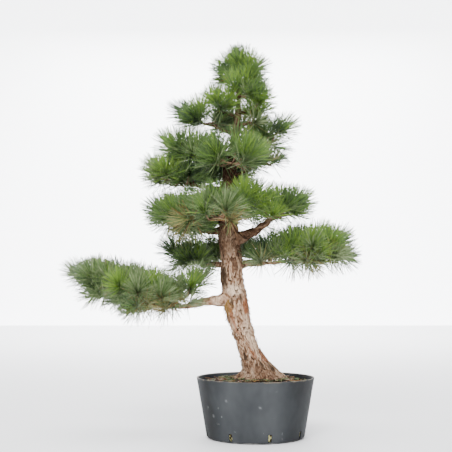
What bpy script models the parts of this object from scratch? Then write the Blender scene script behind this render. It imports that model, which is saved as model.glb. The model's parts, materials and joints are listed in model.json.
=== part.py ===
"""A Japanese black pine bonsai in a round plastic training pot, built at its real size.

Metres, +Z up. The origin is the centre of the pot's underside. +X is the tree's right
side as seen from its front, and the front faces -Y. Azimuths are counted from +X
towards +Y, so 180 points left, 90 to the back and 270 to the front.
"""

import math
from collections import namedtuple

import bpy
import numpy as np

# Pot and soil
POT_RIM_RADIUS = 0.150
POT_BASE_RADIUS = 0.1254
POT_HEIGHT = 0.152
POT_WALL = 0.0032
POT_FLOOR = 0.004
POT_CORNER = 0.010
# The inner corner is smaller than the outer one, by this share
INNER_CORNER_SHARE = 0.5
POT_SIDES = 40
SLOT_COUNT = 8
SLOT_WIDTH = 0.009
SLOT_BOTTOM = 0.005
SLOT_TOP = 0.024
SLOT_DEPTH = 0.016
SLOT_FIRST_AZIMUTH = -75.6
SOIL_LEVEL = 0.1445
SOIL_FLAT_RADIUS = 0.104
# The soil falls by this much from its flat middle to the pot's wall, most of it in the last stretch
SOIL_EDGE_DROP = 0.009
SOIL_LAST_STRETCH = 0.012
SOIL_LAST_SHARE = 0.6
SOIL_SIDES = 32

# The gap kept where two solids meet face to face, and the wider one round a faceted trunk
CLEAR = 0.0003
TRUNK_CLEAR = 0.0004
# Edges sharper than this stay sharp in the shading
SHARP_ANGLE = math.radians(40)

# Trunk: height, offset to the right, offset to the back, radius
TRUNK_LINE = (
    (SOIL_LEVEL, 0.009, 0.000, 0.0370),
    (0.172, 0.001, 0.000, 0.0338),
    (0.195, -0.006, 0.000, 0.0315),
    (0.216, -0.014, 0.000, 0.0284),
    (0.242, -0.023, 0.002, 0.0272),
    (0.278, -0.036, 0.004, 0.0290),
    (0.304, -0.044, 0.004, 0.0308),
    (0.342, -0.051, 0.004, 0.0318),
    (0.370, -0.055, 0.004, 0.0298),
    (0.406, -0.060, 0.003, 0.0280),
    (0.443, -0.060, 0.001, 0.0278),
    (0.480, -0.064, -0.001, 0.0258),
    (0.512, -0.068, -0.003, 0.0258),
    (0.540, -0.069, -0.004, 0.0238),
    (0.604, -0.068, -0.002, 0.0204),
    (0.669, -0.066, 0.004, 0.0172),
    (0.708, -0.062, 0.006, 0.0152),
    (0.760, -0.052, 0.003, 0.0116),
    (0.818, -0.045, -0.002, 0.0080),
    (0.878, -0.041, -0.004, 0.0056),
    (0.914, -0.039, -0.005, 0.0044),
)
TRUNK_RINGS = 26
TRUNK_SIDES = 14
# Share of the rings' spacing that is even. The rest bunches them towards the roots, by this power
TRUNK_EVEN = 0.35
TRUNK_BUNCHING = 1.8

# Root flare: azimuth, spread at the ground, angular width, height over which it fades
Root = namedtuple("Root", "azimuth spread width rise")
ROOTS = (
    Root(358, 0.038, 26, 0.036),
    Root(55, 0.026, 22, 0.022),
    Root(115, 0.030, 24, 0.024),
    Root(182, 0.032, 22, 0.016),
    Root(238, 0.024, 22, 0.018),
    Root(305, 0.028, 24, 0.022),
)
# The flare fades upwards by this power of the height
FLARE_POWER = 1.6

# Boughs leave the trunk's axis at a height, and reach out and up to their tip
Bough = namedtuple("Bough", "height azimuth reach rise arch root tip")
BOUGHS = {
    "lower_left": Bough(0.351, 186, 0.114, -0.018, 0.003, 0.0132, 0.0074),
    "lower_right": Bough(0.434, 7, 0.066, 0.006, 0.001, 0.0092, 0.0060),
    "low_back": Bough(0.442, 86, 0.056, 0.008, 0.002, 0.0078, 0.0048),
    "back_left": Bough(0.430, 138, 0.084, 0.010, 0.003, 0.0080, 0.0048),
    "main_left": Bough(0.524, 186, 0.112, 0.006, -0.004, 0.0080, 0.0048),
    "main_right": Bough(0.500, 353, 0.104, 0.050, -0.008, 0.0135, 0.0074),
    "main_front": Bough(0.548, 250, 0.054, 0.006, 0.002, 0.0074, 0.0048),
    "front_right": Bough(0.572, 302, 0.048, 0.012, 0.000, 0.0064, 0.0042),
    "main_back": Bough(0.552, 82, 0.072, 0.008, 0.003, 0.0080, 0.0050),
    "mid_left": Bough(0.632, 190, 0.078, 0.008, -0.002, 0.0062, 0.0040),
    "mid_back": Bough(0.652, 96, 0.052, 0.008, 0.002, 0.0060, 0.0040),
    "mid_left_upper": Bough(0.692, 204, 0.062, 0.016, 0.000, 0.0054, 0.0036),
    "mid_right_low": Bough(0.662, 340, 0.080, 0.036, -0.004, 0.0042, 0.0028),
    "mid_front": Bough(0.690, 274, 0.050, 0.004, 0.000, 0.0058, 0.0040),
    "mid_right": Bough(0.735, 350, 0.066, 0.012, 0.002, 0.0050, 0.0034),
    "upper_left": Bough(0.775, 188, 0.056, 0.020, -0.002, 0.0044, 0.0032),
    "upper_right": Bough(0.796, 340, 0.030, 0.006, 0.000, 0.0038, 0.0028),
    "upper_back": Bough(0.780, 84, 0.034, 0.008, 0.000, 0.0042, 0.0030),
    "crown_left": Bough(0.822, 196, 0.032, 0.008, 0.000, 0.0036, 0.0026),
    "crown_right": Bough(0.826, 346, 0.026, 0.010, 0.000, 0.0036, 0.0026),
    "crown_front": Bough(0.858, 272, 0.022, 0.006, 0.000, 0.0032, 0.0024),
    "crown_back": Bough(0.854, 88, 0.024, 0.006, 0.000, 0.0032, 0.0024),
}
BOUGH_SIDES = 7
BOUGH_RINGS = 5
# How deep a bough's tube starts inside the trunk before it is cut, as a share of the trunk's radius
BOUGH_START = 0.35
BOUGH_TAPER = 1.3

# Foliage pads: each spreads from its bough's tip, over a plan of length by width.
# Its shoots stand lift above the tip, and the pad rises outwards and is domed in its middle
# Inner is how much higher it stands at the end by the trunk
Pad = namedtuple("Pad", "azimuth length back half_width lift rise dome needle inner", defaults=(0.0,))
PADS = {
    "lower_left": Pad(182, 0.278, 0.030, 0.090, -0.006, 0.082, 0.022, 0.057, 0.064),
    "lower_right": Pad(6, 0.226, 0.010, 0.078, 0.004, 0.044, 0.022, 0.059),
    "low_back": Pad(84, 0.080, 0.004, 0.062, 0.000, 0.010, 0.012, 0.060),
    "back_left": Pad(162, 0.086, 0.004, 0.054, -0.002, 0.028, 0.010, 0.060),
    "main_left": Pad(182, 0.052, 0.050, 0.062, 0.016, 0.014, 0.014, 0.062),
    "main_right": Pad(2, 0.073, 0.044, 0.064, 0.006, 0.024, 0.016, 0.062),
    "main_front": Pad(246, 0.086, 0.014, 0.074, -0.008, 0.010, 0.028, 0.062),
    "front_right": Pad(302, 0.050, 0.006, 0.042, 0.002, 0.006, 0.010, 0.060),
    "main_back": Pad(86, 0.120, 0.010, 0.078, 0.002, 0.014, 0.026, 0.062),
    "mid_left": Pad(184, 0.120, 0.006, 0.048, 0.004, 0.016, 0.010, 0.060),
    "mid_back": Pad(98, 0.094, 0.010, 0.064, 0.002, 0.012, 0.020, 0.060),
    "mid_left_upper": Pad(188, 0.110, 0.004, 0.042, 0.000, 0.014, 0.012, 0.060),
    "mid_right_low": Pad(350, 0.040, 0.000, 0.024, 0.000, 0.000, 0.000, 0.052),
    "mid_front": Pad(274, 0.054, 0.016, 0.068, -0.002, 0.004, 0.020, 0.069),
    "mid_right": Pad(6, 0.060, 0.030, 0.044, 0.000, 0.030, 0.008, 0.060),
    "upper_left": Pad(184, 0.070, 0.008, 0.040, 0.004, 0.020, 0.006, 0.058),
    "upper_right": Pad(350, 0.030, 0.004, 0.032, 0.008, 0.002, 0.008, 0.054),
    "upper_back": Pad(88, 0.070, 0.004, 0.050, 0.002, 0.010, 0.014, 0.058),
    "crown_left": Pad(190, 0.034, 0.002, 0.032, 0.008, 0.006, 0.008, 0.056),
    "crown_right": Pad(352, 0.034, 0.002, 0.032, 0.008, 0.004, 0.010, 0.056),
    "crown_front": Pad(270, 0.034, 0.004, 0.034, 0.010, 0.004, 0.010, 0.056),
    "crown_back": Pad(90, 0.034, 0.004, 0.034, 0.002, 0.004, 0.010, 0.056),
    "apex": Pad(0, 0.026, 0.026, 0.028, 0.014, 0.000, 0.022, 0.056),
}

# Shoots and their needles
SHOOT_SPACING = 0.047
# Narrow pads have their shoots closer, at this share of their half width
NARROW_SPACING = 0.95
LEAST_SPACING = 0.018
ROW_STEP = math.sqrt(3) / 2
# Jitter of a shoot's place, as a share of the spacing: along, across and up
SHOOT_JITTER = (0.16, 0.16, 0.1)
# Shoots lean outwards, by this angle at the pad's outer edge and less inside it by this power.
# At the end by the trunk the lean is smaller, by up to this share on a pad that is all beyond its tip
EDGE_LEAN = 66
LEAN_POWER = 1.2
UPRIGHT_INSIDE = 0.7
# A pad's rise outwards gets steeper by this power. Its higher inner end fades over this length
RISE_POWER = 1.3
INNER_LENGTH = 0.045
# The stem runs this share of the pad's length, and ends this far below its shoots
STEM_SHARE = 0.86
STEM_BELOW = 0.012
STEM_KNEE = 0.3
STEM_ROOT_SHARE = 0.85
STEM_TIP_RADIUS = 0.0018
STEM_SIDES = 5
STEM_RINGS = 6
TWIG_RADIUS = 0.0021
# A twig is at most this share of the wood it leaves
TWIG_SHARE = 0.9
TWIG_TIP_RADIUS = 0.0015
TWIG_SIDES = 3
TWIG_KNEE = 0.012
TWIG_GAP = 0.001
# A twig bends once, unless that bend would be sharper than this cosine
LEAST_BEND = 0.3
# No twig leaves the stem nearer to the limb than this
FIRST_TWIG = 0.010
# How much longer a way down from its parent counts for a twig than a way up
CLIMB_COST = 0.4
CORE_RADIUS = 0.0034
CORE_LENGTH = 0.017
CORE_SIDES = 4
# Shares of the core's radius and length at its rings, from its foot up. It ends in a point
CORE_RINGS = ((0.55, 0.0), (1.0, 0.34), (0.8, 0.74))
CORE_TOP_SHARE = 0.6
# Angle of each band of needles from the shoot's axis, from the lowest band up
BAND_ANGLES = (64, 38, 14)
BAND_JITTER = 7
NEEDLE_RADIUS = 0.0028
NEEDLE_GAP = 0.0010
SHORTEST_NEEDLE = 0.86
# A needle whose way is blocked is tried again at these shares of its length
NEEDLE_SHARES = (1.0, 0.72, 0.5)
FIRST_SEED = 100


def unit(v):
    return v / np.linalg.norm(v)


def heading(azimuth):
    """The level unit vector that points at an azimuth."""
    a = math.radians(azimuth)
    return np.array([math.cos(a), math.sin(a), 0.0])


UP = np.array([0.0, 0.0, 1.0])
# Keeps the distance between parallel rods from dividing by nothing
SMALLEST = 1e-14


def smooth_rows(rows, at):
    """Rows of numbers, read at the values of their first column in at, on smooth curves."""
    rows = np.array(rows, float)
    t, values = rows[:, 0], rows[:, 1:]
    slopes = np.gradient(values, t, axis=0)
    at = np.clip(np.atleast_1d(at), t[0], t[-1])
    i = np.clip(np.searchsorted(t, at, side="right") - 1, 0, len(t) - 2)
    h = (t[i + 1] - t[i])[:, None]
    s = ((at - t[i])[:, None]) / h
    return (
        (2 * s**3 - 3 * s**2 + 1) * values[i]
        + (s**3 - 2 * s**2 + s) * h * slopes[i]
        + (3 * s**2 - 2 * s**3) * values[i + 1]
        + (s**3 - s**2) * h * slopes[i + 1]
    )


def trunk_at(height):
    """Centre and radius of the trunk at a height, without its root flare."""
    x, y, radius = smooth_rows(TRUNK_LINE, height)[0]
    return np.array([x, y, height]), radius


def flare_at(azimuth, height):
    """How far the root flare stands out beyond the trunk's radius."""
    above = height - SOIL_LEVEL
    out = 0.0
    for root in ROOTS:
        off = (azimuth - root.azimuth + 180) % 360 - 180
        fade = math.exp(-((above / root.rise) ** FLARE_POWER))
        out += root.spread * fade * math.exp(-((off / root.width) ** 2))
    return out


def bough_point(bough, t):
    """A point on a bough's centre line, from the trunk's axis at 0 to its tip at 1."""
    start, _ = trunk_at(bough.height)
    out = heading(bough.azimuth) * bough.reach * t
    return start + out + UP * (bough.rise * t + bough.arch * 4 * t * (1 - t))


def bough_line(bough):
    """Centres and radii along a bough, from inside the trunk to its tip."""
    _, trunk_radius = trunk_at(bough.height)
    shares = np.linspace(BOUGH_START * trunk_radius / bough.reach, 1.0, BOUGH_RINGS)
    centres = [bough_point(bough, t) for t in shares]
    radii = [bough.tip + (bough.root - bough.tip) * (1 - t) ** BOUGH_TAPER for t in shares]
    return centres, radii


def bough_end(bough):
    """Tip, direction there and tip radius of a bough."""
    centres, radii = bough_line(bough)
    return centres[-1], unit(centres[-1] - centres[-2]), radii[-1]


def trunk_end():
    """Tip, direction there and tip radius of the trunk."""
    top = TRUNK_LINE[-1][0]
    tip, radius = trunk_at(top)
    return tip, unit(tip - trunk_at(top - 0.01)[0]), radius


def frame_across(direction):
    """Two unit vectors square to a direction and to each other."""
    upright = abs(direction @ UP) > 0.999999
    side = heading(90) if upright else unit(np.cross(direction, UP))
    return side, np.cross(direction, side)


def mesh_object(name, points, faces, material=None):
    """An object from points and faces. With a material it is a visible, smoothly shaded piece."""
    mesh = bpy.data.meshes.new(name)
    mesh.from_pydata([tuple(map(float, p)) for p in points], [], faces)
    mesh.update()
    if material:
        mesh.materials.append(material)
        mesh.shade_smooth()
        mesh.set_sharp_from_angle(angle=SHARP_ANGLE)
    made = bpy.data.objects.new(name, mesh)
    bpy.context.scene.collection.objects.link(made)
    return made


def tube(centres, radii, sides, turn=0.0, start=None):
    """Points and faces of a closed tube with flat ends along a line of centres.

    Its first end is square to the direction start, where one is given.
    """
    points, faces = [], []
    side = None
    for k, (centre, radius) in enumerate(zip(centres, radii)):
        before, after = centres[max(k - 1, 0)], centres[min(k + 1, len(centres) - 1)]
        along = start if k == 0 and start is not None else unit(after - before)
        if side is None:
            side, _ = frame_across(along)
        side = unit(side - along * (side @ along))
        other = np.cross(along, side)
        for j in range(sides):
            a = turn + 2 * math.pi * j / sides
            points.append(centre + radius * (math.cos(a) * side + math.sin(a) * other))
    for k in range(len(centres) - 1):
        for j in range(sides):
            a, b = k * sides + j, k * sides + (j + 1) % sides
            faces.append((a, b, b + sides, a + sides))
    last = (len(centres) - 1) * sides
    faces.append(tuple(range(sides))[::-1])
    faces.append(tuple(last + j for j in range(sides)))
    return points, faces


# Pot and soil


def turned(profile, sides):
    """Points and faces of a closed solid turned about +Z from a profile of (radius, height).

    The profile starts and ends on the axis, and runs round the section anticlockwise.
    """
    points, faces, rings = [], [], []
    for radius, height in profile:
        first = len(points)
        if radius == 0:
            points.append((0, 0, height))
            rings.append([first] * sides)
            continue
        for j in range(sides):
            a = 2 * math.pi * j / sides
            points.append((radius * math.cos(a), radius * math.sin(a), height))
        rings.append([first + j for j in range(sides)])
    for low, high in zip(rings, rings[1:]):
        for j in range(sides):
            k = (j + 1) % sides
            face = [low[j], low[k], high[k], high[j]]
            faces.append(tuple(dict.fromkeys(face)))
    return points, faces


def wall_radius(height):
    """Outer radius of the pot's wall at a height above its rounded foot."""
    share = (height - POT_CORNER) / (POT_HEIGHT - POT_CORNER)
    return POT_BASE_RADIUS + (POT_RIM_RADIUS - POT_BASE_RADIUS) * share


def pot_profile():
    """The section of the pot: flat underside, rounded foot, sloping wall, rim and inside."""
    flat = wall_radius(POT_CORNER) - POT_CORNER
    corner = [
        (flat + POT_CORNER * math.sin(a), POT_CORNER * (1 - math.cos(a)))
        for a in (0, math.pi / 6, math.pi / 3, math.pi / 2)
    ]
    inside = wall_radius(POT_FLOOR + POT_CORNER) - POT_WALL
    return [
        (0, 0),
        *corner,
        (POT_RIM_RADIUS, POT_HEIGHT),
        (POT_RIM_RADIUS - POT_WALL, POT_HEIGHT),
        (inside, POT_FLOOR + POT_CORNER),
        (inside - POT_CORNER * INNER_CORNER_SHARE, POT_FLOOR),
        (0, POT_FLOOR),
    ]


def make_pot(material):
    """The pot, with drainage slots cut through its wall just above the foot."""
    pot = mesh_object("pot", *turned(pot_profile(), POT_SIDES), material)
    for k in range(SLOT_COUNT):
        azimuth = SLOT_FIRST_AZIMUTH + 360 * k / SLOT_COUNT
        centre = heading(azimuth) * POT_BASE_RADIUS + UP * (SLOT_BOTTOM + SLOT_TOP) / 2
        size = (SLOT_DEPTH, SLOT_WIDTH, SLOT_TOP - SLOT_BOTTOM)
        cut(pot, box_cutter(f"slot_cutter_{k}", centre, size, azimuth))


def box_cutter(name, centre, size, azimuth):
    """A box that is only used to cut, turned to an azimuth."""
    half = np.array(size) / 2
    out, side = heading(azimuth), heading(azimuth + 90)
    points = [
        centre + out * half[0] * a + side * half[1] * b + UP * half[2] * c
        for a in (-1, 1)
        for b in (-1, 1)
        for c in (-1, 1)
    ]
    faces = [(0, 1, 3, 2), (4, 6, 7, 5), (0, 4, 5, 1), (2, 3, 7, 6), (0, 2, 6, 4), (1, 5, 7, 3)]
    made = mesh_object(name, points, faces)
    as_cutter(made)
    return made


def as_cutter(made):
    """Marks an object as one that only cuts."""
    made.hide_render = True
    made.display_type = "WIRE"


def cut(target, cutter):
    modifier = target.modifiers.new("cut_" + cutter.name, "BOOLEAN")
    modifier.operation = "DIFFERENCE"
    modifier.object = cutter


def make_soil(material):
    """The soil fills the pot, flat round the trunk and lower at the wall."""
    gap = POT_WALL + CLEAR
    low = POT_FLOOR + POT_CORNER
    edge = SOIL_LEVEL - SOIL_EDGE_DROP
    profile = [
        (0, POT_FLOOR + CLEAR),
        (wall_radius(low) - gap - POT_CORNER * INNER_CORNER_SHARE - CLEAR, POT_FLOOR + CLEAR),
        (wall_radius(low) - gap - CLEAR, low),
        (wall_radius(edge) - gap - CLEAR, edge),
        (wall_radius(edge) - gap - SOIL_LAST_STRETCH, edge + SOIL_EDGE_DROP * (1 - SOIL_LAST_SHARE)),
        (SOIL_FLAT_RADIUS, SOIL_LEVEL - CLEAR),
        (0, SOIL_LEVEL - CLEAR),
    ]
    mesh_object("soil", *turned(profile, SOIL_SIDES), material)


# Trunk and boughs


def trunk_mesh(extra=0.0):
    """The trunk with its root flare, made thicker all round by extra."""
    low, high = TRUNK_LINE[0][0], TRUNK_LINE[-1][0]
    points, faces = [], []
    for k in range(TRUNK_RINGS):
        share = k / (TRUNK_RINGS - 1)
        height = low + (high - low) * (TRUNK_EVEN * share + (1 - TRUNK_EVEN) * share**TRUNK_BUNCHING)
        centre, radius = trunk_at(height)
        for j in range(TRUNK_SIDES):
            azimuth = 360 * j / TRUNK_SIDES
            points.append(centre + heading(azimuth) * (radius + flare_at(azimuth, height) + extra))
    for k in range(TRUNK_RINGS - 1):
        for j in range(TRUNK_SIDES):
            a, b = k * TRUNK_SIDES + j, k * TRUNK_SIDES + (j + 1) % TRUNK_SIDES
            faces.append((a, b, b + TRUNK_SIDES, a + TRUNK_SIDES))
    last = (TRUNK_RINGS - 1) * TRUNK_SIDES
    faces.append(tuple(range(TRUNK_SIDES))[::-1])
    faces.append(tuple(last + j for j in range(TRUNK_SIDES)))
    return points, faces


def make_bough(name, bough, cutter, material):
    """A bough, cut off where it meets the trunk."""
    made = mesh_object("bough_" + name, *tube(*bough_line(bough), BOUGH_SIDES), material)
    cut(made, cutter)


# What keeps foliage clear of limbs and of other foliage


class Space:
    """Tapered rods that later ones keep clear of: two ends, two radii and the number of their owner."""

    def __init__(self):
        self.rods = np.empty((0, 8))
        self.owners = np.empty(0, int)
        self.last_owner = 0

    def new_owner(self):
        self.last_owner += 1
        return self.last_owner

    def add(self, a, b, ra, rb, owner):
        self.rods = np.vstack([self.rods, [*a, *b, ra, rb]])
        self.owners = np.append(self.owners, owner)

    def free(self, a, b, ra, rb, gap, leave_out):
        """True if a new rod from a to b stays clear of all rods but those whose owner is left out."""
        rods = self.rods[~np.isin(self.owners, leave_out)]
        distance, s, t = rod_distance(a, b, rods[:, 0:3], rods[:, 3:6])
        needed = ra + (rb - ra) * s + rods[:, 6] + (rods[:, 7] - rods[:, 6]) * t + gap
        return bool((distance > needed).all())


def rod_distance(p, q, starts, ends):
    """Least distance from segment pq to each other segment, with the shares along both."""
    d1, d2, r = q - p, ends - starts, p - starts
    a, b, c = d1 @ d1, d2 @ d1, r @ d1
    e, f = (d2 * d2).sum(1), (d2 * r).sum(1)
    denominator = np.maximum(a * e - b * b, SMALLEST)
    s = np.clip((b * f - c * e) / denominator, 0, 1)
    t = np.clip((b * s + f) / e, 0, 1)
    s = np.clip((b * t - c) / a, 0, 1)
    t = np.clip((b * s + f) / e, 0, 1)
    near = (p + s[:, None] * d1) - (starts + t[:, None] * d2)
    return np.linalg.norm(near, axis=1), s, t


def fill_limbs(space):
    """Puts the trunk and the boughs into the space."""
    limbs = space.new_owner()
    heights = np.linspace(TRUNK_LINE[0][0], TRUNK_LINE[-1][0], TRUNK_RINGS)
    for low, high in zip(heights, heights[1:]):
        (a, ra), (b, rb) = trunk_at(low), trunk_at(high)
        space.add(a, b, ra, rb, limbs)
    for bough in BOUGHS.values():
        centres, radii = bough_line(bough)
        for k in range(len(centres) - 1):
            space.add(centres[k], centres[k + 1], radii[k], radii[k + 1], limbs)


# How a pad of foliage grows

Shoot = namedtuple("Shoot", "base direction length owners")
Twig = namedtuple("Twig", "points radii")
Growth = namedtuple("Growth", "stem twigs shoots")


def pad_start(name):
    return bough_end(BOUGHS[name]) if name in BOUGHS else trunk_end()


def stem_line(name, pad, count):
    """Centres and radii of the pad's stem. It leaves the limb's tip straight on, then levels out."""
    tip, along, radius = pad_start(name)
    start = tip + along * CLEAR
    climb = UP * (pad.rise + pad.lift - STEM_BELOW)
    end = start + (heading(pad.azimuth) * pad.length + climb) * STEM_SHARE
    knee = start + along * STEM_KNEE * np.linalg.norm(end - start)
    shares = np.linspace(0, 1, count)
    centres = [(1 - t) ** 2 * start + 2 * t * (1 - t) * knee + t**2 * end for t in shares]
    root = radius * STEM_ROOT_SHARE
    radii = [root + (STEM_TIP_RADIUS - root) * t for t in shares]
    return centres, radii


def pad_climb(pad, along, reach):
    """How far shoots stand above the pad's lift, at a distance out and a share of the pad's reach."""
    outer = pad.rise * (max(along, 0) / pad.length) ** RISE_POWER
    inner = pad.inner * math.exp(-(((along + pad.back) / INNER_LENGTH) ** 2))
    return outer + inner + pad.dome * (1 - reach**2)


def shoot_sites(name, pad, rng):
    """Where shoots stand over the pad's plan: (base point, direction), on jittered rows."""
    tip, _, _ = pad_start(name)
    out, side = heading(pad.azimuth), heading(pad.azimuth + 90)
    spacing = min(SHOOT_SPACING, NARROW_SPACING * pad.half_width)
    half_length = (pad.length + pad.back) / 2
    middle = (pad.length - pad.back) / 2
    inner_share = UPRIGHT_INSIDE * middle / half_length
    rows = int(math.ceil(pad.half_width / (spacing * ROW_STEP)))
    columns = int(math.ceil(half_length / spacing)) + 1
    sites = []
    for row in range(-rows, rows + 1):
        for column in range(-columns, columns + 1):
            jitter = rng.uniform(-1, 1, 3) * SHOOT_JITTER * spacing
            u = (column + 0.5 * (row % 2)) * spacing + jitter[0]
            v = row * ROW_STEP * spacing + jitter[1]
            outward = out * u / half_length + side * v / pad.half_width
            reach = np.linalg.norm(outward)
            if reach > 1.0:
                continue
            along = middle + u
            climb = pad.lift + pad_climb(pad, along, reach) + jitter[2]
            base = tip + out * along + side * v + UP * climb
            lean = math.radians(EDGE_LEAN) * reach**LEAN_POWER
            lean *= 1 - inner_share * (1 - unit(outward) @ out) / 2
            sites.append((base, UP * math.cos(lean) + unit(outward) * math.sin(lean)))
    return sorted(sites, key=lambda s: np.linalg.norm(s[0] - tip))


def twig_path(parent, base, direction):
    """Centres of a twig from its parent into a shoot's core, with a knee where that bend is gentle."""
    end = base + direction * CORE_LENGTH * 0.5
    knee = base - direction * TWIG_KNEE
    if unit(knee - parent) @ direction < LEAST_BEND:
        return parent, end
    return parent, knee, end


def grow(name, pad, rng, space):
    """The pad's stem, twigs and shoots. What would touch a limb or another pad is left out."""
    centres, radii = stem_line(name, pad, STEM_RINGS)
    wood = [space.new_owner()]
    for k in range(len(centres) - 1):
        space.add(centres[k], centres[k + 1], radii[k], radii[k + 1], wood[0])
    joints = [
        (c, r) for c, r in zip(centres[:-1], radii[:-1]) if np.linalg.norm(c - centres[0]) > FIRST_TWIG
    ]
    twigs, shoots = [], []
    for base, direction in shoot_sites(name, pad, rng):
        parent, parent_radius = min(
            joints, key=lambda j: np.linalg.norm(j[0] - base) + CLIMB_COST * max(j[0][2] - base[2], 0)
        )
        path = twig_path(parent, base, direction)
        radius = min(TWIG_RADIUS, parent_radius * TWIG_SHARE)
        top = base + direction * CORE_LENGTH
        crowded = any(np.linalg.norm(s.base - base) < LEAST_SPACING for s in shoots)
        legs = list(zip(path, path[1:]))
        clear = all(space.free(a, b, radius, radius, TWIG_GAP, wood) for a, b in legs)
        clear = clear and space.free(base, top, CORE_RADIUS, CORE_RADIUS, TWIG_GAP, wood)
        if crowded or not clear:
            continue
        twig, shoot = space.new_owner(), space.new_owner()
        wood.append(twig)
        for a, b in legs:
            space.add(a, b, radius, radius, twig)
        space.add(base, top, CORE_RADIUS, CORE_RADIUS * CORE_TOP_SHARE, shoot)
        twigs.append(Twig(path, (radius,) * (len(path) - 1) + (TWIG_TIP_RADIUS,)))
        shoots.append(Shoot(base, direction, pad.needle, (twig, shoot)))
        joints.append(((path[0] + path[1]) / 2, radius))
        joints += [(knee, radius) for knee in path[1:-1]]
    return Growth((centres, radii), twigs, shoots)


def shoot_mesh(shoot, rng, space):
    """A slim core with a needle drawn out of each of its small faces, as one closed surface."""
    side, other = frame_across(shoot.direction)
    points, faces, buds = [], [], []
    turn = rng.uniform(0, 2 * math.pi)
    for radius, along in CORE_RINGS:
        for j in range(CORE_SIDES):
            a = turn + 2 * math.pi * j / CORE_SIDES
            out = math.cos(a) * side + math.sin(a) * other
            points.append(shoot.base + out * radius * CORE_RADIUS + shoot.direction * along * CORE_LENGTH)
    points.append(shoot.base + shoot.direction * CORE_LENGTH)
    faces.append(tuple(range(CORE_SIDES))[::-1])
    for band in range(2):
        for j in range(CORE_SIDES):
            a, b = band * CORE_SIDES + j, band * CORE_SIDES + (j + 1) % CORE_SIDES
            buds.append(((a, b, b + CORE_SIDES), band))
            buds.append(((a, b + CORE_SIDES, a + CORE_SIDES), band))
    for j in range(CORE_SIDES):
        a, b = 2 * CORE_SIDES + j, 2 * CORE_SIDES + (j + 1) % CORE_SIDES
        buds.append(((a, b, 3 * CORE_SIDES), 2))
    for corners, band in buds:
        grown = needle_tip(shoot, [points[c] for c in corners], band, rng, space)
        if grown is None:
            faces.append(corners)
            continue
        points.append(grown)
        tip = len(points) - 1
        a, b, c = corners
        faces += [(a, b, tip), (b, c, tip), (c, a, tip)]
    return points, faces


def needle_tip(shoot, corners, band, rng, space):
    """The tip of the needle that grows from a face, or None where it would touch something."""
    root = sum(corners) / 3
    out = root - shoot.base
    out = unit(out - shoot.direction * (out @ shoot.direction))
    angle = math.radians(BAND_ANGLES[band] + rng.uniform(-1, 1) * BAND_JITTER)
    way = unit(shoot.direction * math.cos(angle) + out * math.sin(angle))
    length = shoot.length * rng.uniform(SHORTEST_NEEDLE, 1.0)
    for share in NEEDLE_SHARES:
        tip = root + way * length * share
        if space.free(root, tip, NEEDLE_RADIUS, 0.0, NEEDLE_GAP, shoot.owners):
            space.add(root, tip, NEEDLE_RADIUS, 0.0, shoot.owners[-1])
            return tip
    return None


def make_mass(name, growth, rng, space, material):
    """Joins a pad's stem, twigs and shoots into one solid."""
    pieces = bpy.data.collections.new("pieces_" + name)
    bpy.context.scene.collection.children.link(pieces)
    _, along, _ = pad_start(name)
    stem = mesh_object("foliage_" + name, *tube(*growth.stem, STEM_SIDES, start=along), material)
    shapes = [tube(t.points, t.radii, TWIG_SIDES, rng.uniform(0, 2 * math.pi)) for t in growth.twigs]
    shapes += [shoot_mesh(s, rng, space) for s in growth.shoots]
    for k, shape in enumerate(shapes):
        piece = mesh_object(f"piece_{name}_{k}", *shape)
        bpy.context.scene.collection.objects.unlink(piece)
        pieces.objects.link(piece)
    join = stem.modifiers.new("join", "BOOLEAN")
    join.operation = "UNION"
    join.operand_type = "COLLECTION"
    join.collection = pieces
    join.solver = "EXACT"
    apply_modifiers(stem)
    for piece in list(pieces.objects):
        bpy.data.objects.remove(piece)
    bpy.data.collections.remove(pieces)


def apply_modifiers(made):
    """Puts the evaluated mesh in place of the object's own."""
    graph = bpy.context.evaluated_depsgraph_get()
    joined = bpy.data.meshes.new_from_object(made.evaluated_get(graph))
    made.modifiers.clear()
    old, made.data = made.data, joined
    bpy.data.meshes.remove(old)


# Materials and assembly


def surface(name, colour, roughness, metallic=0.0):
    made = bpy.data.materials.new(name)
    made.use_nodes = True
    shader = made.node_tree.nodes["Principled BSDF"]
    shader.inputs["Base Color"].default_value = (*colour, 1.0)
    shader.inputs["Roughness"].default_value = roughness
    shader.inputs["Metallic"].default_value = metallic
    return made


def main():
    for old in list(bpy.data.objects):
        bpy.data.objects.remove(old)
    plastic = surface("pot_plastic", (0.10, 0.11, 0.12), 0.55)
    earth = surface("soil", (0.16, 0.11, 0.06), 0.95)
    bark = surface("bark", (0.42, 0.30, 0.22), 0.9)
    needles = surface("needles", (0.10, 0.18, 0.06), 0.6)

    make_pot(plastic)
    make_soil(earth)
    mesh_object("trunk", *trunk_mesh(), bark)
    cutter = mesh_object("trunk_cutter", *trunk_mesh(TRUNK_CLEAR))
    as_cutter(cutter)
    for name, bough in BOUGHS.items():
        make_bough(name, bough, cutter, bark)

    space = Space()
    fill_limbs(space)
    growths, seeds = {}, {}
    for k, (name, pad) in enumerate(PADS.items()):
        seeds[name] = np.random.default_rng(FIRST_SEED + k)
        growths[name] = grow(name, pad, seeds[name], space)
    for name, growth in growths.items():
        make_mass(name, growth, seeds[name], space, needles)


main()
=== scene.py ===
"""The looks of a Japanese black pine bonsai in its round plastic training pot.

Metres, +Z up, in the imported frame: the origin is the centre of the pot's underside, +X is
the tree's right side as seen from its front, and the front faces -Y. Azimuths are counted
from +X towards +Y, so 180 points left, 90 to the back and 270 to the front. The limbs and
the pads of foliage grow by the same named sizes and the same seeded rule as the solids.
Here the rule goes on to finer twigs, which carry single needles.
"""

import json
import math
from collections import namedtuple

import bpy
import numpy as np
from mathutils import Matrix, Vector, noise
from mathutils.kdtree import KDTree

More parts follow.
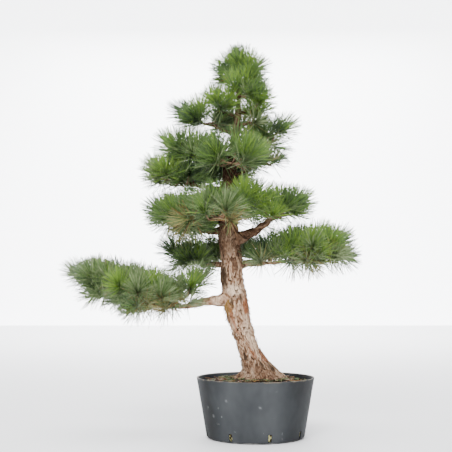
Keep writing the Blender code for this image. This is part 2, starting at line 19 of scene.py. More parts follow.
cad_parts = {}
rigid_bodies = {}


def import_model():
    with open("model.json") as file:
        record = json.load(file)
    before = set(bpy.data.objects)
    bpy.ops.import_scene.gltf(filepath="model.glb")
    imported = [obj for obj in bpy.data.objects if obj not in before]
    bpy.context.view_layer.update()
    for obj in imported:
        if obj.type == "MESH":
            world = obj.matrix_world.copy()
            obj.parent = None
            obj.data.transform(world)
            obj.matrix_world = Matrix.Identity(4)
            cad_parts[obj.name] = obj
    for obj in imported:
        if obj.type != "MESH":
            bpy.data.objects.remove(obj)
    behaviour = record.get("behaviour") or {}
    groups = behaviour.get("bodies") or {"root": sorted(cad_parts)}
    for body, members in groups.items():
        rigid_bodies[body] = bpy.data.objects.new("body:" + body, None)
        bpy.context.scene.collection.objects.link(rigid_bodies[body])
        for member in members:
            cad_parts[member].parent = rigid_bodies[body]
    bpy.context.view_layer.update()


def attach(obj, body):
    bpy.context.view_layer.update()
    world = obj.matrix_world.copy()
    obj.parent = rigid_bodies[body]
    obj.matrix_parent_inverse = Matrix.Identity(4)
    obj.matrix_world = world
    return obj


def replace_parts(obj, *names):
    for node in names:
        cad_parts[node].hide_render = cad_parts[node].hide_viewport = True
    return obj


# Pot and soil, as in the solids
POT_RIM_RADIUS = 0.150
POT_BASE_RADIUS = 0.1254
POT_HEIGHT = 0.152
POT_WALL = 0.0032
POT_FLOOR = 0.004
POT_CORNER = 0.010
SLOT_COUNT = 8
SLOT_WIDTH = 0.009
SLOT_BOTTOM = 0.005
SLOT_TOP = 0.024
SLOT_DEPTH = 0.016
SLOT_FIRST_AZIMUTH = -75.6
SOIL_LEVEL = 0.1445
SOIL_FLAT_RADIUS = 0.104
SOIL_EDGE_DROP = 0.009
CLEAR = 0.0003

# Trunk: height, offset to the right, offset to the back, radius
TRUNK_LINE = (
    (SOIL_LEVEL, 0.009, 0.000, 0.0370),
    (0.172, 0.001, 0.000, 0.0338),
    (0.195, -0.006, 0.000, 0.0315),
    (0.216, -0.014, 0.000, 0.0284),
    (0.242, -0.023, 0.002, 0.0272),
    (0.278, -0.036, 0.004, 0.0290),
    (0.304, -0.044, 0.004, 0.0308),
    (0.342, -0.051, 0.004, 0.0318),
    (0.370, -0.055, 0.004, 0.0298),
    (0.406, -0.060, 0.003, 0.0280),
    (0.443, -0.060, 0.001, 0.0278),
    (0.480, -0.064, -0.001, 0.0258),
    (0.512, -0.068, -0.003, 0.0258),
    (0.540, -0.069, -0.004, 0.0238),
    (0.604, -0.068, -0.002, 0.0204),
    (0.669, -0.066, 0.004, 0.0172),
    (0.708, -0.062, 0.006, 0.0152),
    (0.760, -0.052, 0.003, 0.0116),
    (0.818, -0.045, -0.002, 0.0080),
    (0.878, -0.041, -0.004, 0.0056),
    (0.914, -0.039, -0.005, 0.0044),
)
TRUNK_RINGS = 26

# Root flare: azimuth, spread at the ground, angular width, height over which it fades
Root = namedtuple("Root", "azimuth spread width rise")
ROOTS = (
    Root(358, 0.038, 26, 0.036),
    Root(55, 0.026, 22, 0.022),
    Root(115, 0.030, 24, 0.024),
    Root(182, 0.032, 22, 0.016),
    Root(238, 0.024, 22, 0.018),
    Root(305, 0.028, 24, 0.022),
)
FLARE_POWER = 1.6

# Boughs leave the trunk's axis at a height, and reach out and up to their tip
Bough = namedtuple("Bough", "height azimuth reach rise arch root tip")
BOUGHS = {
    "lower_left": Bough(0.351, 186, 0.114, -0.018, 0.003, 0.0132, 0.0074),
    "lower_right": Bough(0.434, 7, 0.066, 0.006, 0.001, 0.0092, 0.0060),
    "low_back": Bough(0.442, 86, 0.056, 0.008, 0.002, 0.0078, 0.0048),
    "back_left": Bough(0.430, 138, 0.084, 0.010, 0.003, 0.0080, 0.0048),
    "main_left": Bough(0.524, 186, 0.112, 0.006, -0.004, 0.0080, 0.0048),
    "main_right": Bough(0.500, 353, 0.104, 0.050, -0.008, 0.0135, 0.0074),
    "main_front": Bough(0.548, 250, 0.054, 0.006, 0.002, 0.0074, 0.0048),
    "front_right": Bough(0.572, 302, 0.048, 0.012, 0.000, 0.0064, 0.0042),
    "main_back": Bough(0.552, 82, 0.072, 0.008, 0.003, 0.0080, 0.0050),
    "mid_left": Bough(0.632, 190, 0.078, 0.008, -0.002, 0.0062, 0.0040),
    "mid_back": Bough(0.652, 96, 0.052, 0.008, 0.002, 0.0060, 0.0040),
    "mid_left_upper": Bough(0.692, 204, 0.062, 0.016, 0.000, 0.0054, 0.0036),
    "mid_right_low": Bough(0.662, 340, 0.080, 0.036, -0.004, 0.0042, 0.0028),
    "mid_front": Bough(0.690, 274, 0.050, 0.004, 0.000, 0.0058, 0.0040),
    "mid_right": Bough(0.735, 350, 0.066, 0.012, 0.002, 0.0050, 0.0034),
    "upper_left": Bough(0.775, 188, 0.056, 0.020, -0.002, 0.0044, 0.0032),
    "upper_right": Bough(0.796, 340, 0.030, 0.006, 0.000, 0.0038, 0.0028),
    "upper_back": Bough(0.780, 84, 0.034, 0.008, 0.000, 0.0042, 0.0030),
    "crown_left": Bough(0.822, 196, 0.032, 0.008, 0.000, 0.0036, 0.0026),
    "crown_right": Bough(0.826, 346, 0.026, 0.010, 0.000, 0.0036, 0.0026),
    "crown_front": Bough(0.858, 272, 0.022, 0.006, 0.000, 0.0032, 0.0024),
    "crown_back": Bough(0.854, 88, 0.024, 0.006, 0.000, 0.0032, 0.0024),
}
BOUGH_RINGS = 5
BOUGH_START = 0.35
BOUGH_TAPER = 1.3

# Foliage pads: each spreads from its bough's tip, over a plan of length by width.
# Its shoots stand lift above the tip, and the pad rises outwards and is domed in its middle.
# Inner is how much higher it stands at the end by the trunk.
Pad = namedtuple("Pad", "azimuth length back half_width lift rise dome needle inner", defaults=(0.0,))
PADS = {
    "lower_left": Pad(182, 0.278, 0.030, 0.090, -0.006, 0.082, 0.022, 0.057, 0.064),
    "lower_right": Pad(6, 0.226, 0.010, 0.078, 0.004, 0.044, 0.022, 0.059),
    "low_back": Pad(84, 0.080, 0.004, 0.062, 0.000, 0.010, 0.012, 0.060),
    "back_left": Pad(162, 0.086, 0.004, 0.054, -0.002, 0.028, 0.010, 0.060),
    "main_left": Pad(182, 0.052, 0.050, 0.062, 0.016, 0.014, 0.014, 0.062),
    "main_right": Pad(2, 0.073, 0.044, 0.064, 0.006, 0.024, 0.016, 0.062),
    "main_front": Pad(246, 0.086, 0.014, 0.074, -0.008, 0.010, 0.028, 0.062),
    "front_right": Pad(302, 0.050, 0.006, 0.042, 0.002, 0.006, 0.010, 0.060),
    "main_back": Pad(86, 0.120, 0.010, 0.078, 0.002, 0.014, 0.026, 0.062),
    "mid_left": Pad(184, 0.120, 0.006, 0.048, 0.004, 0.016, 0.010, 0.060),
    "mid_back": Pad(98, 0.094, 0.010, 0.064, 0.002, 0.012, 0.020, 0.060),
    "mid_left_upper": Pad(188, 0.110, 0.004, 0.042, 0.000, 0.014, 0.012, 0.060),
    "mid_right_low": Pad(350, 0.040, 0.000, 0.024, 0.000, 0.000, 0.000, 0.052),
    "mid_front": Pad(274, 0.054, 0.016, 0.068, -0.002, 0.004, 0.020, 0.069),
    "mid_right": Pad(6, 0.060, 0.030, 0.044, 0.000, 0.030, 0.008, 0.060),
    "upper_left": Pad(184, 0.070, 0.008, 0.040, 0.004, 0.020, 0.006, 0.058),
    "upper_right": Pad(350, 0.030, 0.004, 0.032, 0.008, 0.002, 0.008, 0.054),
    "upper_back": Pad(88, 0.070, 0.004, 0.050, 0.002, 0.010, 0.014, 0.058),
    "crown_left": Pad(190, 0.034, 0.002, 0.032, 0.008, 0.006, 0.008, 0.056),
    "crown_right": Pad(352, 0.034, 0.002, 0.032, 0.008, 0.004, 0.010, 0.056),
    "crown_front": Pad(270, 0.034, 0.004, 0.034, 0.010, 0.004, 0.010, 0.056),
    "crown_back": Pad(90, 0.034, 0.004, 0.034, 0.002, 0.004, 0.010, 0.056),
    "apex": Pad(0, 0.026, 0.026, 0.028, 0.014, 0.000, 0.022, 0.056),
}

# The growth rule's sizes, as in the solids
SHOOT_SPACING = 0.047
NARROW_SPACING = 0.95
LEAST_SPACING = 0.018
ROW_STEP = math.sqrt(3) / 2
SHOOT_JITTER = (0.16, 0.16, 0.1)
EDGE_LEAN = 66
LEAN_POWER = 1.2
UPRIGHT_INSIDE = 0.7
RISE_POWER = 1.3
INNER_LENGTH = 0.045
STEM_SHARE = 0.86
STEM_BELOW = 0.012
STEM_KNEE = 0.3
STEM_ROOT_SHARE = 0.85
STEM_TIP_RADIUS = 0.0018
STEM_RINGS = 6
TWIG_RADIUS = 0.0021
TWIG_SHARE = 0.9
TWIG_TIP_RADIUS = 0.0015
TWIG_KNEE = 0.012
TWIG_GAP = 0.001
LEAST_BEND = 0.3
FIRST_TWIG = 0.010
CLIMB_COST = 0.4
CORE_RADIUS = 0.0034
CORE_LENGTH = 0.017
CORE_TOP_SHARE = 0.6
FIRST_SEED = 100
SMALLEST = 1e-14
NEARLY_UPRIGHT = 0.999999
# Length of trunk that its direction is read from
TRUNK_AHEAD = 0.01

# Finer twigs: side shoots on each twig, and the shares of the length of a twig and of a stem
# that they leave from
SIDE_SHOOTS = 7
SIDE_SHARES = (0.25, 0.92)
STEM_SHARES = (0.06, 1.0)
# One side shoot for this length of a pad's stem
STEM_SHOOT_STEP = 0.006
SIDE_SPACING = 0.010
# Pads no longer than this are fuller
SMALL_PAD = 0.06
SMALL_PAD_SHOOTS = 26
SMALL_PAD_SPACING = 0.0078
SIDE_LENGTHS = (0.014, 0.034)
SIDE_TURN = 55
SIDE_RADIUS = 0.0014
SIDE_TIP_SHARE = 0.8
# Share of the side shoots that grow level, and how far those and the others rise
LEVEL_SHOOTS = 0.3
LEVEL_RISES = (0.0, 0.3)
UPRIGHT_RISES = (0.5, 1.2)
# Side shoots end no further than these under the stem and over the pad's top
SIDE_MARGINS = (0.006, 0.004)
SIDE_TRUNK_MARGIN = 0.006
FINE_SEED = 500

# Sprays of needles, in pairs along the end of a shoot
MAIN_PAIRS = 64
SIDE_PAIRS = 40
SIDE_NEEDLE_SHARE = 0.94
SPRAY_LENGTH = 0.018
SPRAY_RADIUS = 0.0012
GOLDEN_ANGLE = 137.5
# Angle from the shoot's axis, from the lowest pair to the uppermost
SPRAY_ANGLES = (96, 6)
ANGLE_POWER = 0.8
ANGLE_JITTER = 8
PAIR_ANGLE = 9
NEEDLE_LENGTHS = (0.80, 1.0)
NEEDLE_RADIUS = 0.00074
NEEDLE_BEND = 0.10
# How much of the bend goes along the shoot, and how much to any side
BEND_ALONG = (-0.2, 1.0)
BEND_ASIDE = 0.3
# Needle rings: share of the length, share of the radius. The needle ends in a point
NEEDLE_RINGS = ((0.0, 0.7), (0.42, 1.0), (0.88, 0.72))
# Share of the needles kept among those that point down more steeply than the slope
HANGING = 0.40
HANGING_SLOPE = -0.30
TRUNK_MARGIN = 0.003

# Plain needle colours, by shade, and the names of the shade's older, lighter and darker needles
Shade = namedtuple("Shade", "colour older lighter darker")
SHADES = {
    "fresh": Shade((0.205, 0.340, 0.044), "leaf", "fresh", "leaf"),
    "leaf": Shade((0.122, 0.222, 0.044), "mid", "fresh", "mid"),
    "mid": Shade((0.096, 0.162, 0.048), "soft", "leaf", "dark"),
    "soft": Shade((0.150, 0.215, 0.082), "grey", "grey", "mid"),
    "grey": Shade((0.265, 0.325, 0.165), "old", "grey", "soft"),
    "dark": Shade((0.046, 0.088, 0.032), "mid", "mid", "deep"),
    "deep": Shade((0.020, 0.040, 0.018), "dark", "dark", "deep"),
    "old": Shade((0.290, 0.260, 0.095), "dry", "old", "mid"),
    "dry": Shade((0.320, 0.165, 0.062), "dry", "old", "dry"),
}
# A spray's lowest needles are a year older
OLDER_SHARE = 0.36
LIGHTER_SHARE = 0.24
DARKER_SHARE = 0.34
# Shares of the shades in a pad, by its tone
TONES = {
    "soft": {"leaf": 0.25, "mid": 0.25, "soft": 0.35, "dark": 0.15},
    "pale": {"grey": 0.35, "soft": 0.25, "leaf": 0.16, "fresh": 0.06, "dark": 0.18},
    "green": {"fresh": 0.12, "leaf": 0.42, "mid": 0.26, "dark": 0.20},
    "rich": {"leaf": 0.24, "mid": 0.36, "dark": 0.40},
    "fair": {"fresh": 0.22, "leaf": 0.38, "soft": 0.22, "mid": 0.12, "dark": 0.06},
    "bright": {"fresh": 0.50, "leaf": 0.35, "mid": 0.15},
    # Painted shade: the shade tone gives the pads at the back darker copies of the greens
    "shade": {"soft": 0.15, "mid": 0.40, "dark": 0.30, "deep": 0.15},
}
PAD_TONES = {
    "lower_left": "pale",
    "back_left": "soft",
    "low_back": "shade",
    "main_front": "soft",
    "mid_front": "rich",
    "main_back": "shade",
    "mid_back": "shade",
    "upper_back": "shade",
    "front_right": "bright",
    "crown_left": "bright",
    "crown_right": "bright",
    "mid_right_low": "pale",
    "mid_left": "fair",
    "mid_left_upper": "fair",
    "main_left": "fair",
    "lower_right": "fair",
}
# The tone of the other pads
PLAIN_TONE = "green"
# Side shoots that rise less than this have the shares of the shaded inside
UNDER_RISE = 0.35
UNDER_TONE = {"soft": 0.34, "grey": 0.24, "old": 0.10, "dry": 0.02, "mid": 0.30}

# Which pads' needles make one piece
NEEDLE_PIECES = {
    "needles_lower_left": ("lower_left",),
    "needles_lower_right": ("lower_right", "back_left", "low_back"),
    "needles_main": ("main_left", "main_right", "main_front", "front_right"),
    "needles_back": ("main_back", "mid_back", "upper_back", "crown_back"),
    "needles_mid": ("mid_left", "mid_left_upper", "mid_right_low", "mid_front", "mid_right"),
    "needles_crown": (
        "upper_left",
        "upper_right",
        "crown_left",
        "crown_right",
        "crown_front",
        "apex",
    ),
}

# Layers of bark flakes, from large to small: width, how many times longer than wide, height of
# the steps, and weight in the shade
Layer = namedtuple("Layer", "width stretch step weight")
BARK_LAYERS = (
    Layer(0.0088, 3.0, 0.0026, 0.5),
    Layer(0.0046, 2.8, 0.0014, 0.3),
    Layer(0.0024, 2.4, 0.0007, 0.2),
)
# Noises that warp the flakes' outlines: size and strength, in flake widths
FLAKE_WARPS = ((1.5, 0.5), (0.45, 0.2))
LEAST_FLAKES = 8
# Width of the cracks between flakes, in flake widths
CRACK_WIDTH = 0.22
CRACK_DROP = 0.25
# Share of a flake's step that its rim keeps, and how far flakes lean out
RIM_SHARE = 0.35
FLAKE_LEANS = (-0.1, 0.5)
FIBRE_STRETCH = 6.0
FIBRE_SIZE = 0.0016
FIBRE_STEP = 0.0004
FIBRE_SHADE = 0.18
CAVITY_DEPTH = 0.0013
CAVITY_BLUR = 8
# Value of the cavity and the flake's shade on plain bark
PLAIN_BARK = 0.5

# Places on the trunk with a colour of their own: height, azimuth, half height, half width in
# degrees and how full the colour is
Patch = namedtuple("Patch", "kind height azimuth tall wide share")
PATCHES = (
    Patch("ochre", 0.334, 222, 0.028, 36, 1.0),
    Patch("rust", 0.330, 322, 0.026, 24, 1.0),
    Patch("rust", 0.206, 336, 0.018, 20, 0.9),
    Patch("rust", 0.296, 240, 0.046, 11, 0.7),
    Patch("rust", 0.216, 284, 0.020, 18, 0.7),
    Patch("pale", 0.374, 268, 0.016, 44, 1.0),
    Patch("pale", 0.256, 300, 0.052, 24, 0.6),
    Patch("dark", 0.406, 212, 0.036, 40, 1.0),
    Patch("dark", 0.206, 236, 0.014, 12, 1.0),
    Patch("dark", 0.352, 300, 0.012, 9, 0.9),
    Patch("dark", 0.346, 254, 0.013, 8, 0.9),
    Patch("dark", 0.318, 286, 0.010, 7, 0.8),
    Patch("dark", 0.186, 300, 0.012, 10, 0.8),
    Patch("dark", 0.176, 338, 0.016, 8, 0.9),
    Patch("ochre", 0.300, 60, 0.050, 30, 0.7),
    Patch("dark", 0.330, 110, 0.060, 24, 0.8),
    Patch("pale", 0.280, 150, 0.050, 30, 0.7),
)
PATCH_RAGGED = 0.45
PATCH_RAGGED_SIZE = 0.009
PATCH_EDGE = (0.55, 1.15)

TRUNK_SIDES = 168
TRUNK_RING_STEP = 0.0019
TRUNK_SUNK = 0.006
TRUNK_CAP = 0.001
# Knobs on the trunk: height and size. Towards its foot they grow by a share, between two heights
TRUNK_KNOBS = ((0.0015, 0.022), (0.0022, 0.048))
GNARLED = 0.9
GNARLED_HEIGHTS = (0.155, 0.215)
# Bark is thinner where the trunk is thinner than this, within these shares
FULL_BARK_RADIUS = 0.027
TRUNK_BARK_SHARES = (0.25, 1.1)

BOUGH_SIDES = 24
BOUGH_RING_STEP = 0.0022
LIMB_POINTS = 9
# Where a bough leaves the trunk it swells by a share, over a number of radii
COLLAR = 0.9
COLLAR_REACH = 3.2
WANDER_SIZE = 0.022
WANDER_MOST = 0.004
WANDER_SHARE = 0.8
BOUGH_FLAKE_RADIUS = 0.016
BOUGH_FLAKE_SCALES = (0.3, 0.8)
THIN_END = 0.35
TWIG_SIDES = 6
TWIG_RING_STEP = 0.006
TWIG_ROUGH = 0.22

# Scales stand off the bark: how many, their lengths, widths and lifts
Scales = namedtuple("Scales", "count lengths widths lifts")
TRUNK_SCALES = Scales(1300, (0.003, 0.008), (0.0016, 0.0044), (6, 30))
BOUGH_SCALES = Scales(70, (0.003, 0.0065), (0.0014, 0.0030), (8, 40))
BOUGH_SCALE_STEP = 0.004
BOUGH_SCALE_SEAT = 1.05
TRUNK_SCALE_SEAT = 0.0004
SCALE_THICKNESS = 0.0007
# A scale's outline: reach in lengths, half width in widths, and share of the skew
SCALE_OUTLINE = (
    (-0.3, -0.40, 0),
    (-0.3, 0.40, 0),
    (0.45, 0.50, 0),
    (0.45, -0.50, 0),
    (1.0, 0.22, 1),
    (1.0, -0.22, 1),
)
SCALE_SKEW = 0.35
SCALE_TWIST = 0.25
# Shares of the scales that hang loose at their lower and at their upper end
LOOSE_ENDS = (0.7, 0.3)
SHARP_ANGLE = 50
# Share of the trunk's scales that sit on its shaggy upper part, the lowest, commonest and
# highest place of those, and the heights of the others
SHAGGY_SHARE = 0.6
SHAGGY_HEIGHTS = (0.38, 0.50, 0.84)
PLAIN_HEIGHTS = (SOIL_LEVEL + 0.02, 0.40)
SCALE_FLAKES = (0.0, 0.9)
SCALE_CAVITIES = (0.42, 0.66)
# Large flakes that stand off the trunk: height and azimuth, then their lengths, widths and lifts
EDGE_FLAKES = (
    (0.362, 350),
    (0.357, 340),
    (0.350, 354),
    (0.330, 348),
    (0.322, 352),
    (0.316, 344),
    (0.366, 328),
    (0.398, 352),
    (0.300, 196),
    (0.316, 204),
    (0.262, 190),
    (0.285, 120),
    (0.340, 70),
    (0.372, 100),
)
EDGE_FLAKE_SIZES = ((0.006, 0.009), (0.005, 0.008), (18, 36))

# The shells of the pot and the soil
POT_SIDES = 144
LIP = 0.0012
LIP_ANGLES = (0.3, math.pi - 0.3)
LIP_DROP = 0.0002
FLOOR_INSET = POT_CORNER * 0.5
FOOT_STEPS = 7
WALL_STEPS = 24
LIP_STEPS = 5
INNER_STEPS = 12
POT_SHARP_ANGLE = 45
SOIL_SIDES = 120
SOIL_RINGS = 44
SOIL_WALL_RINGS = 22
SOIL_WALL_TOP = 0.004
SOIL_INSET = 0.0002
SOIL_MIDDLE = 0.002
# Heap of soil round the trunk's foot: how far right its middle is, its height, and the distances
# from its middle between which it falls off
HEAP_MIDDLE = TRUNK_LINE[0][1] + 0.012
HEAP_HEIGHT = 0.0045
HEAP_REACH = (0.045, 0.105)
# Bumps in the soil: height and size
SOIL_BUMPS = ((0.0022, 0.024), (0.0011, 0.008))

# What lies on the soil
FALLEN_NEEDLES = 210
FALLEN_LENGTHS = (0.012, 0.040)
FALLEN_BY_WALL = 0.006
FALLEN_RADIUS = 0.00055
FALLEN_HEIGHT = 0.0018
FALLEN_TILT = 0.06
FALLEN_BENDS = (0.08, 0.08, 0.01)
FALLEN_SHARES = {"dry": 0.45, "old": 0.1, "mid": 0.15, "deep": 0.3}
CHIPS = Scales(900, (0.003, 0.008), (0.0018, 0.0050), (4, 32))
CHIP_HEIGHT = 0.0004
CHIP_TIP = 0.25
CHIP_FLAKES = (0.0, 0.7)
CHIP_CAVITIES = (0.56, 0.86, 0.96)
CHIPS_BY_TRUNK = 0.3
MOSS_TUFTS = 26
MOSS_BLADES = 40
MOSS_LENGTHS = (0.002, 0.0055)
MOSS_SPREAD = 0.005
MOSS_TIP = 0.5
MOSS_BEND = 0.2
MOSS_BY_TRUNK = 0.7
MOSS_SHADES = ("old", "mid", "dark", "deep")
# Litter keeps these distances from the pot's wall, and needles this one at their far end
LITTER_EDGE = 0.012
LITTER_LIMIT = 0.010
FALLEN_LIMIT = 0.008
# Litter by the trunk thins out over this distance. Litter nearer than the second one is counted
# from the trunk's foot and not from the middle of the pot
BY_TRUNK_REACH = 0.012
FOOT_REACH = 0.09

# Seeds of the random draws and of the noises
SEEDS = {
    "needles": 900,
    "trunk": 11,
    "trunk_bark": 3,
    "knobs": 21,
    "patches": 25,
    "boughs": 40,
    "bough_bark": 50,
    "wander": 30,
    "scales": 61,
    "twigs": 71,
    "soil": 81,
    "litter": 83,
}
# Steps from a bark's seed to those of its next layer of flakes and of its fibres
LAYER_SEED_STEP = 7
FIBRE_SEED_STEP = 30

# Base colours of the bark, by flake, and of its streaks and patches; the hollow colour is painted shade
# with the darker bark of the cracks, the crest colour a painted highlight
BARK_TONES = (
    (0.36, (0.110, 0.056, 0.030)),
    (0.45, (0.250, 0.140, 0.082)),
    (0.54, (0.420, 0.262, 0.165)),
    (0.66, (0.680, 0.500, 0.355)),
)
BARK_STREAK = (0.110, 0.056, 0.030)
BARK_UPPER = (0.20, 0.15, 0.11)
BARK_CREST_HIGHLIGHT = (0.70, 0.50, 0.34)
BARK_HOLLOW_SHADE = (0.022, 0.011, 0.005)
BARK_PATCH_COLOURS = {
    "ochre": (0.190, 0.100, 0.018),
    "rust": (0.220, 0.072, 0.028),
    "pale": (0.700, 0.520, 0.370),
    "dark": (0.030, 0.016, 0.007),
}
TWIG_TONES = (
    (0.32, (0.10, 0.055, 0.03)),
    (0.55, (0.26, 0.165, 0.095)),
    (0.72, (0.40, 0.28, 0.17)),
)
POT_TONES = (
    (0.24, (0.011, 0.012, 0.013)),
    (0.42, (0.028, 0.031, 0.034)),
    (0.60, (0.052, 0.056, 0.060)),
)
SOIL_TONES = (
    (0.36, (0.003, 0.002, 0.001)),
    (0.50, (0.012, 0.007, 0.004)),
    (0.60, (0.032, 0.020, 0.009)),
    (0.72, (0.090, 0.062, 0.022)),
)
ROOT_COLOUR = (0.420, 0.400, 0.190)
POT_SCUFF = (0.190, 0.195, 0.200)
POT_RIM_DUST = (0.120, 0.095, 0.070)
POT_FOOT_DUST = (0.300, 0.290, 0.270)
# Scuffs on the pot's front: azimuth, height and size
POT_SCUFFS = (
    (210, 0.083, 0.0062),
    (218, 0.064, 0.0056),
    (224, 0.046, 0.0050),
    (227, 0.086, 0.0030),
    (231, 0.065, 0.0028),
    (273, 0.091, 0.0052),
    (288, 0.128, 0.0050),
    (238, 0.106, 0.0060),
    (246, 0.030, 0.0040),
    (60, 0.070, 0.0060),
    (130, 0.100, 0.0050),
)

CAMERA_PLACE = (-0.075, -2.45, 0.381)
CAMERA_PITCH = 3.65
CAMERA_LENS = 75.9
SENSOR_WIDTH = 36.0
FLOOR_SIZE = 60
FLOOR_COLOUR = (0.80, 0.805, 0.82)
BACKDROP_SIZE = 9
BACKDROP_DISTANCE = 7.0
BACKDROP_COLOUR = (0.92, 0.93, 0.95)
BACKDROP_GLOW = 4.6
ROOM_COLOUR = (0.95, 0.96, 0.98)
ROOM_LIGHT = 0.95
Light = namedtuple("Light", "name place size power target", defaults=((0, 0, 0.5),))
LIGHTS = (
    Light("key", (-0.8, -3.2, 2.6), 1.6, 230),
    Light("fill", (2.6, -2.6, 1.8), 2.5, 12),
    Light("top", (-0.2, -0.4, 3.4), 2.2, 100),
    Light("rear", (0.0, 4.6, 2.8), 4.0, 560, (0, 4.8, 0)),
)

UP = np.array([0.0, 0.0, 1.0])


def unit(v):
    return v / np.linalg.norm(v)


def units(v):
    """Each row of an array, made one long."""
    return v / np.linalg.norm(v, axis=1, keepdims=True)


def heading(azimuth):
    """The level unit vector that points at an azimuth."""
    a = math.radians(azimuth)
    return np.array([math.cos(a), math.sin(a), 0.0])


def smooth_step(value, low, high):
    """0 below low, 1 above high, and a soft climb between them."""
    t = np.clip((value - low) / (high - low), 0, 1)
    return t * t * (3 - 2 * t)


def smooth_rows(rows, at):
    """Rows of numbers, read at the values of their first column in at, on smooth curves."""
    rows = np.array(rows, float)
    t, values = rows[:, 0], rows[:, 1:]
    slopes = np.gradient(values, t, axis=0)
    at = np.clip(np.atleast_1d(at), t[0], t[-1])
    i = np.clip(np.searchsorted(t, at, side="right") - 1, 0, len(t) - 2)
    h = (t[i + 1] - t[i])[:, None]
    s = ((at - t[i])[:, None]) / h
    return (
        (2 * s**3 - 3 * s**2 + 1) * values[i]
        + (s**3 - 2 * s**2 + s) * h * slopes[i]
        + (3 * s**2 - 2 * s**3) * values[i + 1]
        + (s**3 - s**2) * h * slopes[i + 1]
    )


def trunk_at(height):
    """Centre and radius of the trunk at a height, without its root flare."""
    x, y, radius = smooth_rows(TRUNK_LINE, height)[0]
    return np.array([x, y, height]), radius


def flare_at(azimuth, height):
    """How far the root flare stands out beyond the trunk's radius, for arrays too."""
    above = np.maximum(height - SOIL_LEVEL, 0)
    out = 0.0
    for root in ROOTS:
        off = (azimuth - root.azimuth + 180) % 360 - 180
        fade = np.exp(-((above / root.rise) ** FLARE_POWER))
        out = out + root.spread * fade * np.exp(-((off / root.width) ** 2))
    return out


def bough_point(bough, t):
    """A point on a bough's centre line, from the trunk's axis at 0 to its tip at 1."""
    start, _ = trunk_at(bough.height)
    out = heading(bough.azimuth) * bough.reach * t
    return start + out + UP * (bough.rise * t + bough.arch * 4 * t * (1 - t))


def bough_line(bough, count):
    """Centres and radii along a bough, from inside the trunk to its tip."""
    _, trunk_radius = trunk_at(bough.height)
    shares = np.linspace(BOUGH_START * trunk_radius / bough.reach, 1.0, count)
    centres = [bough_point(bough, t) for t in shares]
    radii = [bough.tip + (bough.root - bough.tip) * (1 - t) ** BOUGH_TAPER for t in shares]
    return centres, radii


def bough_end(bough):
    """Tip, direction there and tip radius of a bough."""
    centres, radii = bough_line(bough, BOUGH_RINGS)
    return centres[-1], unit(centres[-1] - centres[-2]), radii[-1]


def trunk_end():
    """Tip, direction there and tip radius of the trunk."""
    top = TRUNK_LINE[-1][0]
    tip, radius = trunk_at(top)
    return tip, unit(tip - trunk_at(top - TRUNK_AHEAD)[0]), radius


def frame_across(direction):
    """Two unit vectors square to a direction and to each other."""
    upright = abs(direction @ UP) > NEARLY_UPRIGHT
    side = heading(90) if upright else unit(np.cross(direction, UP))
    return side, np.cross(direction, side)


def turns(sides):
    """The angles of points spread evenly round a ring."""
    return np.arange(sides) * 2 * math.pi / sides


def level_ways(angles):
    """A level unit vector for each angle of an array, in radians."""
    return np.stack([np.cos(angles), np.sin(angles), 0 * angles], 1)


def lengths_along(centres):
    """How far each centre lies along its line."""
    return np.concatenate([[0], np.cumsum(np.linalg.norm(np.diff(centres, axis=0), axis=1))])


# The solids' growth rule


class Space:
    """Tapered rods that later ones keep clear of: two ends, two radii and the number of their owner."""

    def __init__(self):
        self.rods = np.empty((0, 8))
        self.owners = np.empty(0, int)
        self.last_owner = 0

    def new_owner(self):
        self.last_owner += 1
        return self.last_owner

    def add(self, a, b, ra, rb, owner):
        self.rods = np.vstack([self.rods, [*a, *b, ra, rb]])
        self.owners = np.append(self.owners, owner)

    def free(self, a, b, ra, rb, gap, leave_out):
        """True if a new rod from a to b stays clear of all rods but those whose owner is left out."""
        rods = self.rods[~np.isin(self.owners, leave_out)]
        distance, s, t = rod_distance(a, b, rods[:, 0:3], rods[:, 3:6])
        needed = ra + (rb - ra) * s + rods[:, 6] + (rods[:, 7] - rods[:, 6]) * t + gap
        return bool((distance > needed).all())


def rod_distance(p, q, starts, ends):
    """Least distance from segment pq to each other segment, with the shares along both."""
    d1, d2, r = q - p, ends - starts, p - starts
    a, b, c = d1 @ d1, d2 @ d1, r @ d1
    e, f = (d2 * d2).sum(1), (d2 * r).sum(1)
    denominator = np.maximum(a * e - b * b, SMALLEST)
    s = np.clip((b * f - c * e) / denominator, 0, 1)
    t = np.clip((b * s + f) / e, 0, 1)
    s = np.clip((b * t - c) / a, 0, 1)
    t = np.clip((b * s + f) / e, 0, 1)
    near = (p + s[:, None] * d1) - (starts + t[:, None] * d2)
    return np.linalg.norm(near, axis=1), s, t


def fill_limbs(space):
    """Puts the trunk and the boughs into the space."""
    limbs = space.new_owner()
    heights = np.linspace(TRUNK_LINE[0][0], TRUNK_LINE[-1][0], TRUNK_RINGS)
    for low, high in zip(heights, heights[1:]):
        (a, ra), (b, rb) = trunk_at(low), trunk_at(high)
        space.add(a, b, ra, rb, limbs)
    for bough in BOUGHS.values():
        centres, radii = bough_line(bough, BOUGH_RINGS)
        for k in range(len(centres) - 1):
            space.add(centres[k], centres[k + 1], radii[k], radii[k + 1], limbs)


Shoot = namedtuple("Shoot", "base direction path")
Growth = namedtuple("Growth", "stem shoots")


def pad_start(name):
    return bough_end(BOUGHS[name]) if name in BOUGHS else trunk_end()


def stem_line(name, pad, count):
    """Centres and radii of the pad's stem. It leaves the limb's tip straight on, then levels out."""
    tip, along, radius = pad_start(name)
    start = tip + along * CLEAR
    climb = UP * (pad.rise + pad.lift - STEM_BELOW)
    end = start + (heading(pad.azimuth) * pad.length + climb) * STEM_SHARE
    knee = start + along * STEM_KNEE * np.linalg.norm(end - start)
    shares = np.linspace(0, 1, count)
    centres = [(1 - t) ** 2 * start + 2 * t * (1 - t) * knee + t**2 * end for t in shares]
    root = radius * STEM_ROOT_SHARE
    radii = [root + (STEM_TIP_RADIUS - root) * t for t in shares]
    return centres, radii


